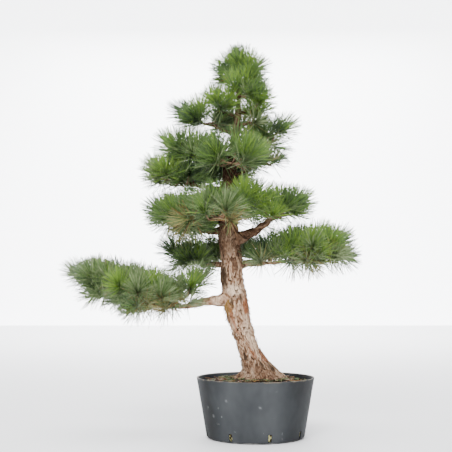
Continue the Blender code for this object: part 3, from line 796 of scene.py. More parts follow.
def pad_climb(pad, along, reach):
    """How far shoots stand above the pad's lift, at a distance out and a share of the pad's reach."""
    outer = pad.rise * (max(along, 0) / pad.length) ** RISE_POWER
    inner = pad.inner * math.exp(-(((along + pad.back) / INNER_LENGTH) ** 2))
    return outer + inner + pad.dome * (1 - reach**2)


def shoot_sites(name, pad, rng):
    """Where shoots stand over the pad's plan: (base point, direction), on jittered rows."""
    tip, _, _ = pad_start(name)
    out, side = heading(pad.azimuth), heading(pad.azimuth + 90)
    spacing = min(SHOOT_SPACING, NARROW_SPACING * pad.half_width)
    half_length = (pad.length + pad.back) / 2
    middle = (pad.length - pad.back) / 2
    inner_share = UPRIGHT_INSIDE * middle / half_length
    rows = int(math.ceil(pad.half_width / (spacing * ROW_STEP)))
    columns = int(math.ceil(half_length / spacing)) + 1
    sites = []
    for row in range(-rows, rows + 1):
        for column in range(-columns, columns + 1):
            jitter = rng.uniform(-1, 1, 3) * SHOOT_JITTER * spacing
            u = (column + 0.5 * (row % 2)) * spacing + jitter[0]
            v = row * ROW_STEP * spacing + jitter[1]
            outward = out * u / half_length + side * v / pad.half_width
            reach = np.linalg.norm(outward)
            if reach > 1.0:
                continue
            along = middle + u
            climb = pad.lift + pad_climb(pad, along, reach) + jitter[2]
            base = tip + out * along + side * v + UP * climb
            lean = math.radians(EDGE_LEAN) * reach**LEAN_POWER
            lean *= 1 - inner_share * (1 - unit(outward) @ out) / 2
            sites.append((base, UP * math.cos(lean) + unit(outward) * math.sin(lean)))
    return sorted(sites, key=lambda s: np.linalg.norm(s[0] - tip))


def twig_path(parent, base, direction):
    """Centres of a twig from its parent into a shoot's core, with a knee where that bend is gentle."""
    end = base + direction * CORE_LENGTH * 0.5
    knee = base - direction * TWIG_KNEE
    if unit(knee - parent) @ direction < LEAST_BEND:
        return parent, end
    return parent, knee, end


def grow(name, pad, rng, space):
    """The pad's stem and its shoots. What would touch a limb or another pad is left out."""
    centres, radii = stem_line(name, pad, STEM_RINGS)
    wood = [space.new_owner()]
    for k in range(len(centres) - 1):
        space.add(centres[k], centres[k + 1], radii[k], radii[k + 1], wood[0])
    joints = [
        (c, r) for c, r in zip(centres[:-1], radii[:-1]) if np.linalg.norm(c - centres[0]) > FIRST_TWIG
    ]
    shoots = []
    for base, direction in shoot_sites(name, pad, rng):
        parent, parent_radius = min(
            joints, key=lambda j: np.linalg.norm(j[0] - base) + CLIMB_COST * max(j[0][2] - base[2], 0)
        )
        path = twig_path(parent, base, direction)
        radius = min(TWIG_RADIUS, parent_radius * TWIG_SHARE)
        top = base + direction * CORE_LENGTH
        crowded = any(np.linalg.norm(s.base - base) < LEAST_SPACING for s in shoots)
        legs = list(zip(path, path[1:]))
        clear = all(space.free(a, b, radius, radius, TWIG_GAP, wood) for a, b in legs)
        clear = clear and space.free(base, top, CORE_RADIUS, CORE_RADIUS, TWIG_GAP, wood)
        if crowded or not clear:
            continue
        twig, shoot = space.new_owner(), space.new_owner()
        wood.append(twig)
        for a, b in legs:
            space.add(a, b, radius, radius, twig)
        space.add(base, top, CORE_RADIUS, CORE_RADIUS * CORE_TOP_SHARE, shoot)
        shoots.append(Shoot(base, direction, path))
        joints.append(((path[0] + path[1]) / 2, radius))
        joints += [(knee, radius) for knee in path[1:-1]]
    return Growth((centres, radii), shoots)


# The rule carried on to finer twigs and to sprays of needles

Spray = namedtuple("Spray", "base direction needle pairs shade")


def deal(shares, rng):
    """One of the names in a table of shares."""
    names = list(shares)
    weights = np.array([shares[n] for n in names])
    return names[rng.choice(len(names), p=weights / weights.sum())]


def point_along(path, share):
    """The point at a share of a path's length, and the direction there."""
    legs = [np.linalg.norm(b - a) for a, b in zip(path, path[1:])]
    left = share * sum(legs)
    for a, b, leg in zip(path, path[1:], legs):
        if left <= leg:
            break
        left -= leg
    return a + (b - a) * min(left / leg, 1.0), unit(b - a)


def side_twig(path, shares, rng):
    """A finer twig off a path: its start, its end and the direction in which its needles grow."""
    start, along = point_along(path, rng.uniform(*shares))
    side, other = frame_across(along)
    a = rng.uniform(0, 2 * math.pi)
    turn = math.radians(SIDE_TURN)
    way = unit(along * math.cos(turn) + (side * math.cos(a) + other * math.sin(a)) * math.sin(turn))
    end = start + way * rng.uniform(*SIDE_LENGTHS)
    rises = LEVEL_RISES if rng.uniform() < LEVEL_SHOOTS else UPRIGHT_RISES
    return start, end, unit(way + UP * rng.uniform(*rises))


def clear_of_trunk(points, margin):
    """True for each point above the trunk or a margin off it, without its root flare."""
    x, y, radius = smooth_rows(TRUNK_LINE, points[:, 2]).T
    off = np.hypot(points[:, 0] - x, points[:, 1] - y)
    return (points[:, 2] > TRUNK_LINE[-1][0]) | (off > radius + margin)


def pad_room(name, pad, stem):
    """A test for points: True over the pad's plan, and between the heights of its stem and its top."""
    tip, _, _ = pad_start(name)
    out, side = heading(pad.azimuth), heading(pad.azimuth + 90)
    middle = (pad.length - pad.back) / 2
    half_length = (pad.length + pad.back) / 2
    lengths = np.array([(p - tip) @ out for p in stem])
    heights = np.array([min(p[2], tip[2] + pad.lift) for p in stem])
    below, above = SIDE_MARGINS

    def inside(point):
        off = point - (tip + out * middle)
        u, v = off @ out / half_length, off @ side / pad.half_width
        reach = math.hypot(u, v)
        along = u * half_length + middle
        top = tip[2] + pad.lift + pad_climb(pad, along, min(reach, 1.0)) + above
        low = np.interp(-along, -lengths[::-1], heights[::-1]) - below
        return reach <= 1.0 and low < point[2] < top

    return inside


def pad_sprays(name, pad, growth, rng):
    """The pad's sprays of needles and its finer twigs, as lists."""
    tone = TONES[PAD_TONES.get(name, PLAIN_TONE)]
    sprays, twigs = [], []
    for shoot in growth.shoots:
        twigs.append((shoot.path, TWIG_RADIUS, TWIG_TIP_RADIUS))
        sprays.append(Spray(shoot.base, shoot.direction, pad.needle, MAIN_PAIRS, deal(tone, rng)))
    stem = growth.stem[0]
    inside = pad_room(name, pad, stem)
    small = pad.length <= SMALL_PAD
    each = SMALL_PAD_SHOOTS if small else SIDE_SHOOTS
    spacing = SMALL_PAD_SPACING if small else SIDE_SPACING
    tries = [(stem, STEM_SHARES)] * int(lengths_along(stem)[-1] / STEM_SHOOT_STEP)
    tries += [(shoot.path, SIDE_SHARES) for shoot in growth.shoots for _ in range(each)]
    for path, shares in tries:
        start, end, way = side_twig(path, shares, rng)
        shade = deal(UNDER_TONE if way[2] < UNDER_RISE else tone, rng)
        near = min(np.linalg.norm(s.base - end) for s in sprays)
        if near < spacing or not inside(end) or not clear_of_trunk(end[None], SIDE_TRUNK_MARGIN)[0]:
            continue
        twigs.append(((start, end), SIDE_RADIUS, SIDE_RADIUS * SIDE_TIP_SHARE))
        sprays.append(Spray(end, way, pad.needle * SIDE_NEEDLE_SHARE, SIDE_PAIRS, shade))
    return sprays, twigs


def spray_needles(spray, rng):
    """Roots, ways, lengths and bends of a spray's needles, and which of them are its older ones."""
    side, other = frame_across(spray.direction)
    count = spray.pairs
    share = (np.arange(count) + 0.5) / count
    turn = np.radians(GOLDEN_ANGLE * np.arange(count) + rng.uniform(0, 360))
    out = np.cos(turn)[:, None] * side + np.sin(turn)[:, None] * other
    low, high = SPRAY_ANGLES
    jitter = rng.uniform(-1, 1, count) * ANGLE_JITTER
    angle = np.radians(low + (high - low) * share**ANGLE_POWER + jitter)
    root = spray.base + spray.direction * (share * SPRAY_LENGTH)[:, None] + out * SPRAY_RADIUS
    way = spray.direction * np.cos(angle)[:, None] + out * np.sin(angle)[:, None]
    apart = np.radians(PAIR_ANGLE) * np.cross(way, rng.normal(size=(count, 3)))
    ways = units(np.concatenate([way + apart, way - apart]))
    lengths = spray.needle * rng.uniform(*NEEDLE_LENGTHS, 2 * count)
    bends = spray.direction * rng.uniform(*BEND_ALONG, (2 * count, 1)) * NEEDLE_BEND
    bends += rng.normal(size=(2 * count, 3)) * NEEDLE_BEND * BEND_ASIDE
    return np.tile(root, (2, 1)), ways, lengths, bends, np.tile(share < OLDER_SHARE, 2)


# Meshes


def as_object(name, mesh, slot, *materials):
    """A smoothly shaded piece that rides with the plant, with its materials. Its slot is not used."""
    for material in materials:
        mesh.materials.append(material)
    mesh.shade_smooth()
    made = bpy.data.objects.new(name, mesh)
    bpy.context.scene.collection.objects.link(made)
    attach(made, "root")
    return made


def array_mesh(name, points, quads, triangles, quad_material=None, triangle_material=None):
    """A mesh straight from arrays of points, four-sided and three-sided faces."""
    quads, triangles = np.asarray(quads).reshape(-1, 4), np.asarray(triangles).reshape(-1, 3)
    mesh = bpy.data.meshes.new(name)
    mesh.vertices.add(len(points))
    mesh.vertices.foreach_set("co", np.asarray(points, np.float32).ravel())
    corners = np.concatenate([quads.ravel(), triangles.ravel()]).astype(np.int32)
    sizes = np.concatenate([np.full(len(quads), 4), np.full(len(triangles), 3)])
    mesh.loops.add(len(corners))
    mesh.loops.foreach_set("vertex_index", corners)
    mesh.polygons.add(len(sizes))
    mesh.polygons.foreach_set("loop_start", np.concatenate([[0], np.cumsum(sizes)[:-1]]).astype(np.int32))
    if quad_material is not None:
        numbers = np.concatenate([quad_material, triangle_material]).astype(np.int32)
        mesh.polygons.foreach_set("material_index", numbers)
    mesh.update(calc_edges=True)
    return mesh


def add_values(mesh, **values):
    """Numbers for each point of a mesh, for its material to read by their names."""
    for name, numbers in values.items():
        attribute = mesh.attributes.new(name, "FLOAT", "POINT")
        attribute.data.foreach_set("value", np.asarray(numbers, np.float32).ravel())


def grid_faces(rings, sides, first=0):
    """Faces between rings of points that close round a limb."""
    k, j = np.meshgrid(np.arange(rings - 1), np.arange(sides), indexing="ij")
    a = first + (k * sides + j).ravel()
    b = first + (k * sides + (j + 1) % sides).ravel()
    return np.stack([a, b, b + sides, a + sides], 1)


def fan(ring, middle, flip=False):
    """Faces that close a ring with a point."""
    ring = np.asarray(ring)
    after = np.roll(ring, -1)
    faces = np.stack([ring, after, np.full(len(ring), middle)], 1)
    return faces[:, ::-1] if flip else faces


class Limbs:
    """Collects limbs, each of rings of points closed at its end, and makes one mesh of them."""

    def __init__(self):
        self.points, self.quads, self.caps = [], [], []
        self.count = 0

    def add(self, surface, sides, end):
        """One limb: the points of all its rings, how many make a ring, and the point at its end."""
        self.points.append(np.vstack([surface, end]))
        self.quads.append(grid_faces(len(surface) // sides, sides, self.count))
        last = self.count + len(surface)
        self.caps.append(fan(np.arange(last - sides, last), last))
        self.count = last + 1

    def mesh(self, name):
        return array_mesh(name, np.vstack(self.points), np.vstack(self.quads), np.vstack(self.caps))


def closed_mesh(name, points, sides, low, high):
    """A mesh from rings of points round +Z, closed by a point on the axis at each end."""
    total = len(points)
    caps = [fan(np.arange(sides), total, True), fan(np.arange(total - sides, total), total + 1)]
    points = np.vstack([points, [(0, 0, low), (0, 0, high)]])
    return array_mesh(name, points, grid_faces(total // sides, sides), np.vstack(caps))


def needle_mesh(name, roots, ways, lengths, bends, shades, radius=NEEDLE_RADIUS):
    """Every needle as a three-sided blade that bends a little and ends in a point."""
    count, rings = len(roots), len(NEEDLE_RINGS)
    tip = 3 * rings
    across = units(np.cross(ways, np.roll(ways, 1, axis=1) + 0.37))
    other = np.cross(ways, across)
    points = np.empty((count, tip + 1, 3))
    for ring, (share, width) in enumerate(NEEDLE_RINGS):
        middle = roots + ways * (lengths * share)[:, None] + bends * (lengths * share**2)[:, None]
        for corner, a in enumerate(turns(3)):
            out = across * math.cos(a) + other * math.sin(a)
            points[:, ring * 3 + corner] = middle + radius * width * out
    points[:, tip] = roots + ways * lengths[:, None] + bends * lengths[:, None]
    first = (np.arange(count) * (tip + 1))[:, None, None]
    sides = grid_faces(rings, 3)[None] + first
    ends = np.concatenate([fan(np.arange(tip - 3, tip), tip), [(2, 1, 0)]])[None] + first
    numbers = [np.repeat(shades, faces.shape[1]) for faces in (sides, ends)]
    return array_mesh(name, points.reshape(-1, 3), sides, ends, *numbers)


def noise_at(points, size, seed=0):
    """Smooth noise from -1 to 1 at each point, with features of about a size."""
    shift = Vector((seed * 7.31, seed * 3.17, seed * 5.73))
    return np.array([noise.noise(Vector(p) / size + shift) for p in points])


def noise_steps(points, size, seed=0):
    """A noise vector at each point, from three noises."""
    return np.stack([noise_at(points, size, seed + k * 11) for k in range(3)], 1)


def nearest_two(points, seeds):
    """Distances from each point to its two nearest seeds, and the number of the nearest."""
    tree = KDTree(len(seeds))
    for k, seed in enumerate(seeds):
        tree.insert(seed, k)
    tree.balance()
    found = [tree.find_n(p, 2) for p in points]
    distances = np.array([(first[2], second[2]) for first, second in found])
    return distances, np.array([first[1] for first, _ in found])


# Bark


def flake_layer(places, layer, scale, rng, seed):
    """One layer of bark flakes: how far each point stands out, and the shade of its flake.

    Places are (across, across, along) on the limb's surface, in metres.
    """
    width, step = layer.width * scale, layer.step * scale
    flat = places / (1, 1, layer.stretch)
    warped = flat
    for k, (size, strength) in enumerate(FLAKE_WARPS):
        warped = warped + noise_steps(flat, width * size, seed + 3 * k) * width * strength
    girth = 2 * math.pi * np.median(np.linalg.norm(places[:, :2], axis=1))
    area = girth * np.ptp(flat[:, 2])
    count = int(np.clip(area / width**2, LEAST_FLAKES, len(places) // 4))
    seeds = warped[rng.choice(len(warped), count, replace=False)]
    near, owner = nearest_two(warped, seeds)
    inside = smooth_step((near[:, 1] - near[:, 0]) / width, 0.0, CRACK_WIDTH)
    level = rng.uniform(-0.5, 0.5, count)[owner]
    lean = rng.uniform(*FLAKE_LEANS, count)[owner] * (seeds[owner, 2] - warped[:, 2]) / width
    out = step * (level + np.clip(lean, -0.5, 0.5)) * (RIM_SHARE + (1 - RIM_SHARE) * inside)
    return out - step * CRACK_DROP * (1 - inside), rng.uniform(0, 1, count)[owner]


def blurred(grid, steps):
    """A grid of rings by sides, smoothed a few times along the limb and round it."""
    for _ in range(steps):
        longer = np.vstack([grid[:1], grid, grid[-1:]])
        round_it = np.roll(grid, 1, axis=1) + np.roll(grid, -1, axis=1)
        grid = (grid * 2 + round_it + longer[:-2] + longer[2:]) / 6
    return grid


def bark_relief(places, shape, scale, rng, seed):
    """How far bark stands out, how deep in a hollow each point lies, and its flake's shade."""
    out, shade = 0.0, 0.0
    for k, layer in enumerate(BARK_LAYERS):
        steps, shades = flake_layer(places, layer, scale, rng, seed + LAYER_SEED_STEP * k)
        out = out + steps
        shade = shade + shades * layer.weight
    lengthwise = places / (1, 1, FIBRE_STRETCH)
    fibres = noise_at(lengthwise, FIBRE_SIZE * (0.5 + scale / 2), seed + FIBRE_SEED_STEP)
    out += FIBRE_STEP * scale * fibres
    grid = out.reshape(shape)
    cavity = (blurred(grid, CAVITY_BLUR) - grid).ravel() / (CAVITY_DEPTH * scale)
    return out, np.clip(PLAIN_BARK + cavity, 0, 1), np.clip(shade + FIBRE_SHADE * fibres, 0, 1)


def patch_shares(azimuth, height, ragged):
    """How much of each patch colour lies at each point, with ragged edges."""
    shares = {}
    for patch in PATCHES:
        turn = (azimuth - patch.azimuth + 180) % 360 - 180
        off = np.hypot((height - patch.height) / patch.tall, turn / patch.wide) + ragged * PATCH_RAGGED
        share = patch.share * (1 - smooth_step(off, *PATCH_EDGE))
        shares[patch.kind] = np.maximum(shares.get(patch.kind, 0), share)
    return shares


def trunk_surface(material):
    """The trunk's bark, with flakes, hollows and its root flare, sunk a little into the soil."""
    low, high = SOIL_LEVEL - TRUNK_SUNK, TRUNK_LINE[-1][0]
    rings, sides = int((high - low) / TRUNK_RING_STEP), TRUNK_SIDES
    heights = np.linspace(low, high, rings)
    x, y, radius = smooth_rows(TRUNK_LINE, heights).T
    height, turn = np.meshgrid(heights, np.arange(sides) * 360 / sides, indexing="ij")
    full = (radius[:, None] + flare_at(turn, height)).ravel()
    turn, height = turn.ravel(), height.ravel()
    outward = level_ways(np.radians(turn))
    places = outward * full[:, None] + UP * height[:, None]
    rng = np.random.default_rng(SEEDS["trunk"])
    out, cavity, shade = bark_relief(places, (rings, sides), 1.0, rng, SEEDS["trunk_bark"])
    thick = np.clip(np.repeat(radius, sides) / FULL_BARK_RADIUS, *TRUNK_BARK_SHARES)
    knobs = 0.0
    for k, (rise, size) in enumerate(TRUNK_KNOBS):
        knobs = knobs + rise * noise_at(places, size, SEEDS["knobs"] + k)
    gnarled = 1 + GNARLED * (1 - smooth_step(height, *GNARLED_HEIGHTS))
    grown = full + (out + knobs * gnarled) * thick
    centre = np.stack([np.repeat(x, sides), np.repeat(y, sides), height], 1)
    limbs = Limbs()
    limbs.add(centre + outward * grown[:, None], sides, [x[-1], y[-1], high + TRUNK_CAP])
    mesh = limbs.mesh("trunk_bark")
    add_values(mesh, cavity=np.append(cavity, PLAIN_BARK), flake=np.append(shade, PLAIN_BARK))
    patches = patch_shares(turn, height, noise_at(places, PATCH_RAGGED_SIZE, SEEDS["patches"]))
    add_values(mesh, **{kind: np.append(share, 0) for kind, share in patches.items()})
    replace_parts(as_object("trunk_bark", mesh, "bark", material), "trunk")


def framed_rings(centres, radii, sides, rng=None, rough=0.0):
    """Rings of points round a line, and their outward ways."""
    centres = np.asarray(centres)
    along = units(np.gradient(centres, axis=0))
    side, _ = frame_across(along[0])
    a = turns(sides)[:, None]
    rings, ways = [], []
    for centre, way, radius in zip(centres, along, radii):
        side = unit(side - way * (side @ way))
        out = np.cos(a) * side + np.sin(a) * np.cross(way, side)
        uneven = 1 + (rng.uniform(-rough, rough, (sides, 1)) if rough else 0)
        rings.append(centre + out * radius * uneven)
        ways.append(out)
    return np.array(rings), np.array(ways)


def resample(centres, radii, spacing):
    """A line of centres and radii, read again at even steps on smooth curves."""
    length = lengths_along(centres)
    rows = np.column_stack([length, centres, radii])
    read = smooth_rows(rows, np.linspace(0, length[-1], max(int(length[-1] / spacing), 3)))
    return read[:, :3], read[:, 3]


def limb_line(name):
    """A bough and the stem that grows on from it through its pad, as one line."""
    stem, stem_radii = stem_line(name, PADS[name], LIMB_POINTS)
    if name not in BOUGHS:
        return stem, stem_radii
    bough, radii = bough_line(BOUGHS[name], LIMB_POINTS)
    return bough + stem[1:], radii + stem_radii[1:]


def limb_surfaces(material):
    """The boughs' bark, each from inside the trunk out to the end of its pad's stem."""
    limbs, cavities, shades = Limbs(), [], []
    for k, name in enumerate(PADS):
        rng = np.random.default_rng(SEEDS["boughs"] + k)
        centres, radii = resample(*limb_line(name), BOUGH_RING_STEP)
        steps = noise_steps(centres, WANDER_SIZE, SEEDS["wander"] + k)
        wander = steps * np.minimum(radii, WANDER_MOST)[:, None] * WANDER_SHARE
        away = np.linalg.norm(centres - centres[0], axis=1)
        collar = 1 + COLLAR * np.exp(-away / (COLLAR_REACH * radii[0]))
        rings, ways = framed_rings(centres + wander, radii * collar, BOUGH_SIDES)
        length = lengths_along(centres + wander)
        places = (ways * radii[:, None, None] + UP * length[:, None, None]).reshape(-1, 3)
        scale = float(np.clip(radii[0] / BOUGH_FLAKE_RADIUS, *BOUGH_FLAKE_SCALES))
        out, cavity, shade = bark_relief(places, rings.shape[:2], scale, rng, SEEDS["bough_bark"] + k)
        thick = np.repeat(np.clip(radii / radii[0], THIN_END, 1), BOUGH_SIDES)
        surface = rings.reshape(-1, 3) + ways.reshape(-1, 3) * (out * thick)[:, None]
        limbs.add(surface, BOUGH_SIDES, centres[-1])
        cavities.append(np.append(cavity, PLAIN_BARK))
        shades.append(np.append(shade, PLAIN_BARK))
    mesh = limbs.mesh("bough_bark")
    add_values(mesh, cavity=np.concatenate(cavities), flake=np.concatenate(shades))
    made = as_object("bough_bark", mesh, "bark", material)
    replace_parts(made, *("bough_" + name for name in BOUGHS))


def twig_surfaces(twigs, material):
    """Every twig as a knobbly tube."""
    rng = np.random.default_rng(SEEDS["twigs"])
    limbs = Limbs()
    for path, root, tip in twigs:
        centres, radii = resample(path, np.linspace(root, tip, len(path)), TWIG_RING_STEP)
        rings, _ = framed_rings(centres, radii, TWIG_SIDES, rng, TWIG_ROUGH)
        limbs.add(rings.reshape(-1, 3), TWIG_SIDES, centres[-1])
    as_object("twigs", limbs.mesh("twigs"), "bark", material)


def scale_points(roots, along, out, kind, rng):
    """Corners of thin closed plates that grow from their roots along the limb and away from it."""
    count = len(roots)
    lift = np.radians(rng.uniform(*kind.lifts, count))[:, None]
    length = rng.uniform(*kind.lengths, count)[:, None]
    width = rng.uniform(*kind.widths, count)[:, None]
    across = units(np.cross(along, out))
    way = along * np.cos(lift) + out * np.sin(lift)
    face = np.cross(way, across)
    skew = rng.uniform(-SCALE_SKEW, SCALE_SKEW, (count, 1)) * width
    corners = []
    for reach, half, bent in SCALE_OUTLINE:
        corners.append(roots + way * length * reach + across * (width * half + skew * bent))
    upper = np.stack(corners, 1)
    lower = upper - (face * SCALE_THICKNESS)[:, None]
    return np.concatenate([upper, lower], 1).reshape(-1, 3)


def scale_faces(count):
    """Four-sided faces of the plates: two on each broad side and six round the edge."""
    each = len(SCALE_OUTLINE)
    broad = np.array([(0, 1, 2, 3), (3, 2, 4, 5)])
    edge = (0, 1, 2, 4, 5, 3)
    rim = [(a, a + each, b + each, b) for a, b in zip(edge, edge[1:] + edge[:1])]
    faces = np.concatenate([broad[:, ::-1], broad + each, np.array(rim)[:, ::-1]])
    return (faces[None] + 2 * each * np.arange(count)[:, None, None]).reshape(-1, 4)


def scale_piece(name, points, slot, material, **values):
    """Plates as one piece, with values for each of them."""
    each = 2 * len(SCALE_OUTLINE)
    mesh = array_mesh(name, points, scale_faces(len(points) // each), [])
    add_values(mesh, **{key: np.repeat(numbers, each) for key, numbers in values.items()})
    made = as_object(name, mesh, slot, material)
    made.data.set_sharp_from_angle(angle=math.radians(SHARP_ANGLE))


def trunk_scale_places(height, azimuth, rng):
    """Roots of the trunk's loose scales, with the ways along and away from it."""
    count = len(height)
    x, y, radius = smooth_rows(TRUNK_LINE, height).T
    out = level_ways(np.radians(azimuth))
    centre = np.stack([x, y, height], 1)
    above = smooth_rows(TRUNK_LINE, height + TRUNK_AHEAD)[:, :2]
    along = units(np.column_stack([above, height + TRUNK_AHEAD]) - centre)
    along = units(along + np.cross(along, out) * rng.normal(0, SCALE_TWIST, (count, 1)))
    along *= rng.choice((-1, 1), (count, 1), p=LOOSE_ENDS)
    full = radius + flare_at(azimuth, height) + TRUNK_SCALE_SEAT
    return centre + out * full[:, None], along, out


def bark_scales(material):
    """Loose scales on the trunk and on every limb, as one piece."""
    rng = np.random.default_rng(SEEDS["scales"])
    count, on_bough = TRUNK_SCALES.count, BOUGH_SCALES.count
    shaggy = rng.uniform(size=count) < SHAGGY_SHARE
    even = rng.uniform(*PLAIN_HEIGHTS, count)
    height = np.where(shaggy, rng.triangular(*SHAGGY_HEIGHTS, count), even)
    azimuth = rng.uniform(0, 360, count)
    points = [scale_points(*trunk_scale_places(height, azimuth, rng), TRUNK_SCALES, rng)]
    edge = trunk_scale_places(*np.array(EDGE_FLAKES).T, rng)
    points.append(scale_points(*edge, Scales(len(EDGE_FLAKES), *EDGE_FLAKE_SIZES), rng))
    for name in BOUGHS:
        centres, radii = resample(*limb_line(name), BOUGH_SCALE_STEP)
        ways = units(np.gradient(centres, axis=0))
        pick = rng.integers(2, len(centres) - 2, on_bough)
        side = units(np.cross(ways[pick], rng.normal(size=(on_bough, 3))))
        roots = centres[pick] + side * (radii[pick] * BOUGH_SCALE_SEAT)[:, None]
        points.append(scale_points(roots, ways[pick], side, BOUGH_SCALES, rng))
    total = count + len(EDGE_FLAKES) + on_bough * len(BOUGHS)
    values = {
        "flake": rng.uniform(*SCALE_FLAKES, total),
        "cavity": rng.uniform(*SCALE_CAVITIES, total),
    }
    for kind, share in patch_shares(azimuth, height, 0.0).items():
        values[kind] = np.append(share, np.zeros(total - count))
    scale_piece("bark_scales", np.vstack(points), "bark", material, **values)


# Foliage


def needle_shades(shade, older, rng):
    """The number of each needle's material: most in the spray's own or older shade."""
    order = list(SHADES)
    own = (shade, SHADES[shade].older)
    kinds = [(name, SHADES[name].lighter, SHADES[name].darker) for name in own]
    numbers = np.array([[order.index(name) for name in kind] for kind in kinds])
    chances = (1 - LIGHTER_SHARE - DARKER_SHARE, LIGHTER_SHARE, DARKER_SHARE)
    return numbers[older.astype(int), rng.choice(3, len(older), p=chances)]


def make_needles(name, sprays, materials):
    """One piece with the needles of several pads' sprays."""
    rng = np.random.default_rng(SEEDS["needles"] + len(name))
    parts = []
    for spray in sprays:
        roots, ways, lengths, bends, older = spray_needles(spray, rng)
        tips = roots + ways * lengths[:, None]
        keep = clear_of_trunk(tips, TRUNK_MARGIN) & clear_of_trunk((roots + tips) / 2, TRUNK_MARGIN)
        keep &= (ways[:, 2] > HANGING_SLOPE) | (rng.uniform(size=len(ways)) < HANGING)
        shades = needle_shades(spray.shade, older, rng)
        parts.append([v[keep] for v in (roots, ways, lengths, bends, shades)])
    mesh = needle_mesh(name, *(np.concatenate(arrays) for arrays in zip(*parts)))
    return as_object(name, mesh, "needles", *materials)


def make_foliage(bark, needle_materials):
    """Grows every pad, then makes its twigs and needles."""
    space = Space()
    fill_limbs(space)
    sprays, twigs = {}, []
    for k, (name, pad) in enumerate(PADS.items()):
        growth = grow(name, pad, np.random.default_rng(FIRST_SEED + k), space)
        sprays[name], own = pad_sprays(name, pad, growth, np.random.default_rng(FINE_SEED + k))
        twigs += own
    for name, pads in NEEDLE_PIECES.items():
        made = make_needles(name, [s for p in pads for s in sprays[p]], needle_materials)
        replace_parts(made, *("foliage_" + p for p in pads))
    twig_surfaces(twigs, bark)


# Pot and soil


def wall_radius(height):
    """Outer radius of the pot's wall at a height above its rounded foot."""
    share = (height - POT_CORNER) / (POT_HEIGHT - POT_CORNER)
    return POT_BASE_RADIUS + (POT_RIM_RADIUS - POT_BASE_RADIUS) * share


def pot_profile():
    """Radii and heights of the pot's section: rounded foot, sloping wall, lip, inside and floor."""
    flat = wall_radius(POT_CORNER) - POT_CORNER
    top, inside_foot = POT_HEIGHT - LIP, POT_FLOOR + POT_CORNER
    half = POT_WALL / 2
    foot = [
        (flat + POT_CORNER * math.sin(a), POT_CORNER * (1 - math.cos(a)))
        for a in np.linspace(0, math.pi / 2, FOOT_STEPS)
    ]
    wall = [(wall_radius(z), z) for z in np.linspace(inside_foot, top, WALL_STEPS)]
    lip = [
        (POT_RIM_RADIUS - half + half * math.cos(a), top + LIP * math.sin(a))
        for a in np.linspace(*LIP_ANGLES, LIP_STEPS)
    ]
    inner = [
        (wall_radius(z) - POT_WALL, z)
        for z in np.linspace(top - LIP_DROP, inside_foot, INNER_STEPS)
    ]
    floor = (wall_radius(inside_foot) - POT_WALL - FLOOR_INSET, POT_FLOOR)
    return np.array([*foot, *wall, *lip, *inner, floor])


def make_pot(material):
    """The pot's thin shell with its drainage slots cut right through."""
    profile = pot_profile()[:, :, None, None]
    points = profile[:, 0] * level_ways(turns(POT_SIDES)) + profile[:, 1] * UP
    mesh = closed_mesh("pot_shell", points.reshape(-1, 3), POT_SIDES, 0, POT_FLOOR)
    made = as_object("pot_shell", mesh, "pot", material)
    for k in range(SLOT_COUNT):
        azimuth = SLOT_FIRST_AZIMUTH + 360 * k / SLOT_COUNT
        centre = heading(azimuth) * POT_BASE_RADIUS + UP * (SLOT_BOTTOM + SLOT_TOP) / 2
        bpy.ops.mesh.primitive_cube_add(size=1, location=centre, rotation=(0, 0, math.radians(azimuth)))
        cutter = bpy.context.object
        cutter.scale = (SLOT_DEPTH, SLOT_WIDTH, SLOT_TOP - SLOT_BOTTOM)
        cut = made.modifiers.new("slot", "BOOLEAN")
        cut.operation, cut.object, cut.solver = "DIFFERENCE", cutter, "EXACT"
        apply_modifiers(made)
        bpy.data.objects.remove(cutter)
    made.data.set_sharp_from_angle(angle=math.radians(POT_SHARP_ANGLE))
    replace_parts(made, "pot")


def apply_modifiers(made):
    """Puts the evaluated mesh in place of the object's own."""
    bpy.context.view_layer.update()
    graph = bpy.context.evaluated_depsgraph_get()
    joined = bpy.data.meshes.new_from_object(made.evaluated_get(graph))
    made.modifiers.clear()
    made.data = joined


def soil_height(x, y):
    """The soil's surface: flat, lower at the wall, heaped at the trunk's foot, and bumpy."""
    off = np.hypot(x, y)
    near = np.hypot(x - HEAP_MIDDLE, y)
    edge = SOIL_EDGE_DROP * smooth_step(off, SOIL_FLAT_RADIUS, wall_radius(SOIL_LEVEL) - POT_WALL)
    heap = HEAP_HEIGHT * (1 - smooth_step(near, *HEAP_REACH))
    points = np.column_stack([x, y, np.zeros(len(x))])
    bumps = 0.0
    for k, (rise, size) in enumerate(SOIL_BUMPS):
        bumps = bumps + rise * noise_at(points, size, SEEDS["soil"] + k)
    return SOIL_LEVEL - edge + heap + bumps


def make_soil(material):
    """The body of soil, which shows at the top and through the slots."""
    around = level_ways(turns(SOIL_SIDES))
    gap = POT_WALL + CLEAR
    inside_foot = POT_FLOOR + POT_CORNER
    bottom, edge = POT_FLOOR + CLEAR, SOIL_LEVEL - SOIL_EDGE_DROP
    below = []
    for height in np.linspace(bottom, edge - SOIL_WALL_TOP, SOIL_WALL_RINGS):
        inset = FLOOR_INSET if height < POT_CORNER else SOIL_INSET
        below.append(around * (wall_radius(max(height, inside_foot)) - gap - inset) + UP * height)
    radii = np.linspace(wall_radius(edge) - gap, SOIL_MIDDLE, SOIL_RINGS)
    top = (radii[:, None, None] * around).reshape(-1, 3)
    top[:, 2] = soil_height(top[:, 0], top[:, 1])
    mesh = closed_mesh("soil_body", np.vstack([*below, top]), SOIL_SIDES, bottom, SOIL_LEVEL)
    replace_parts(as_object("soil_body", mesh, "soil", material), "soil")


# What lies on the soil


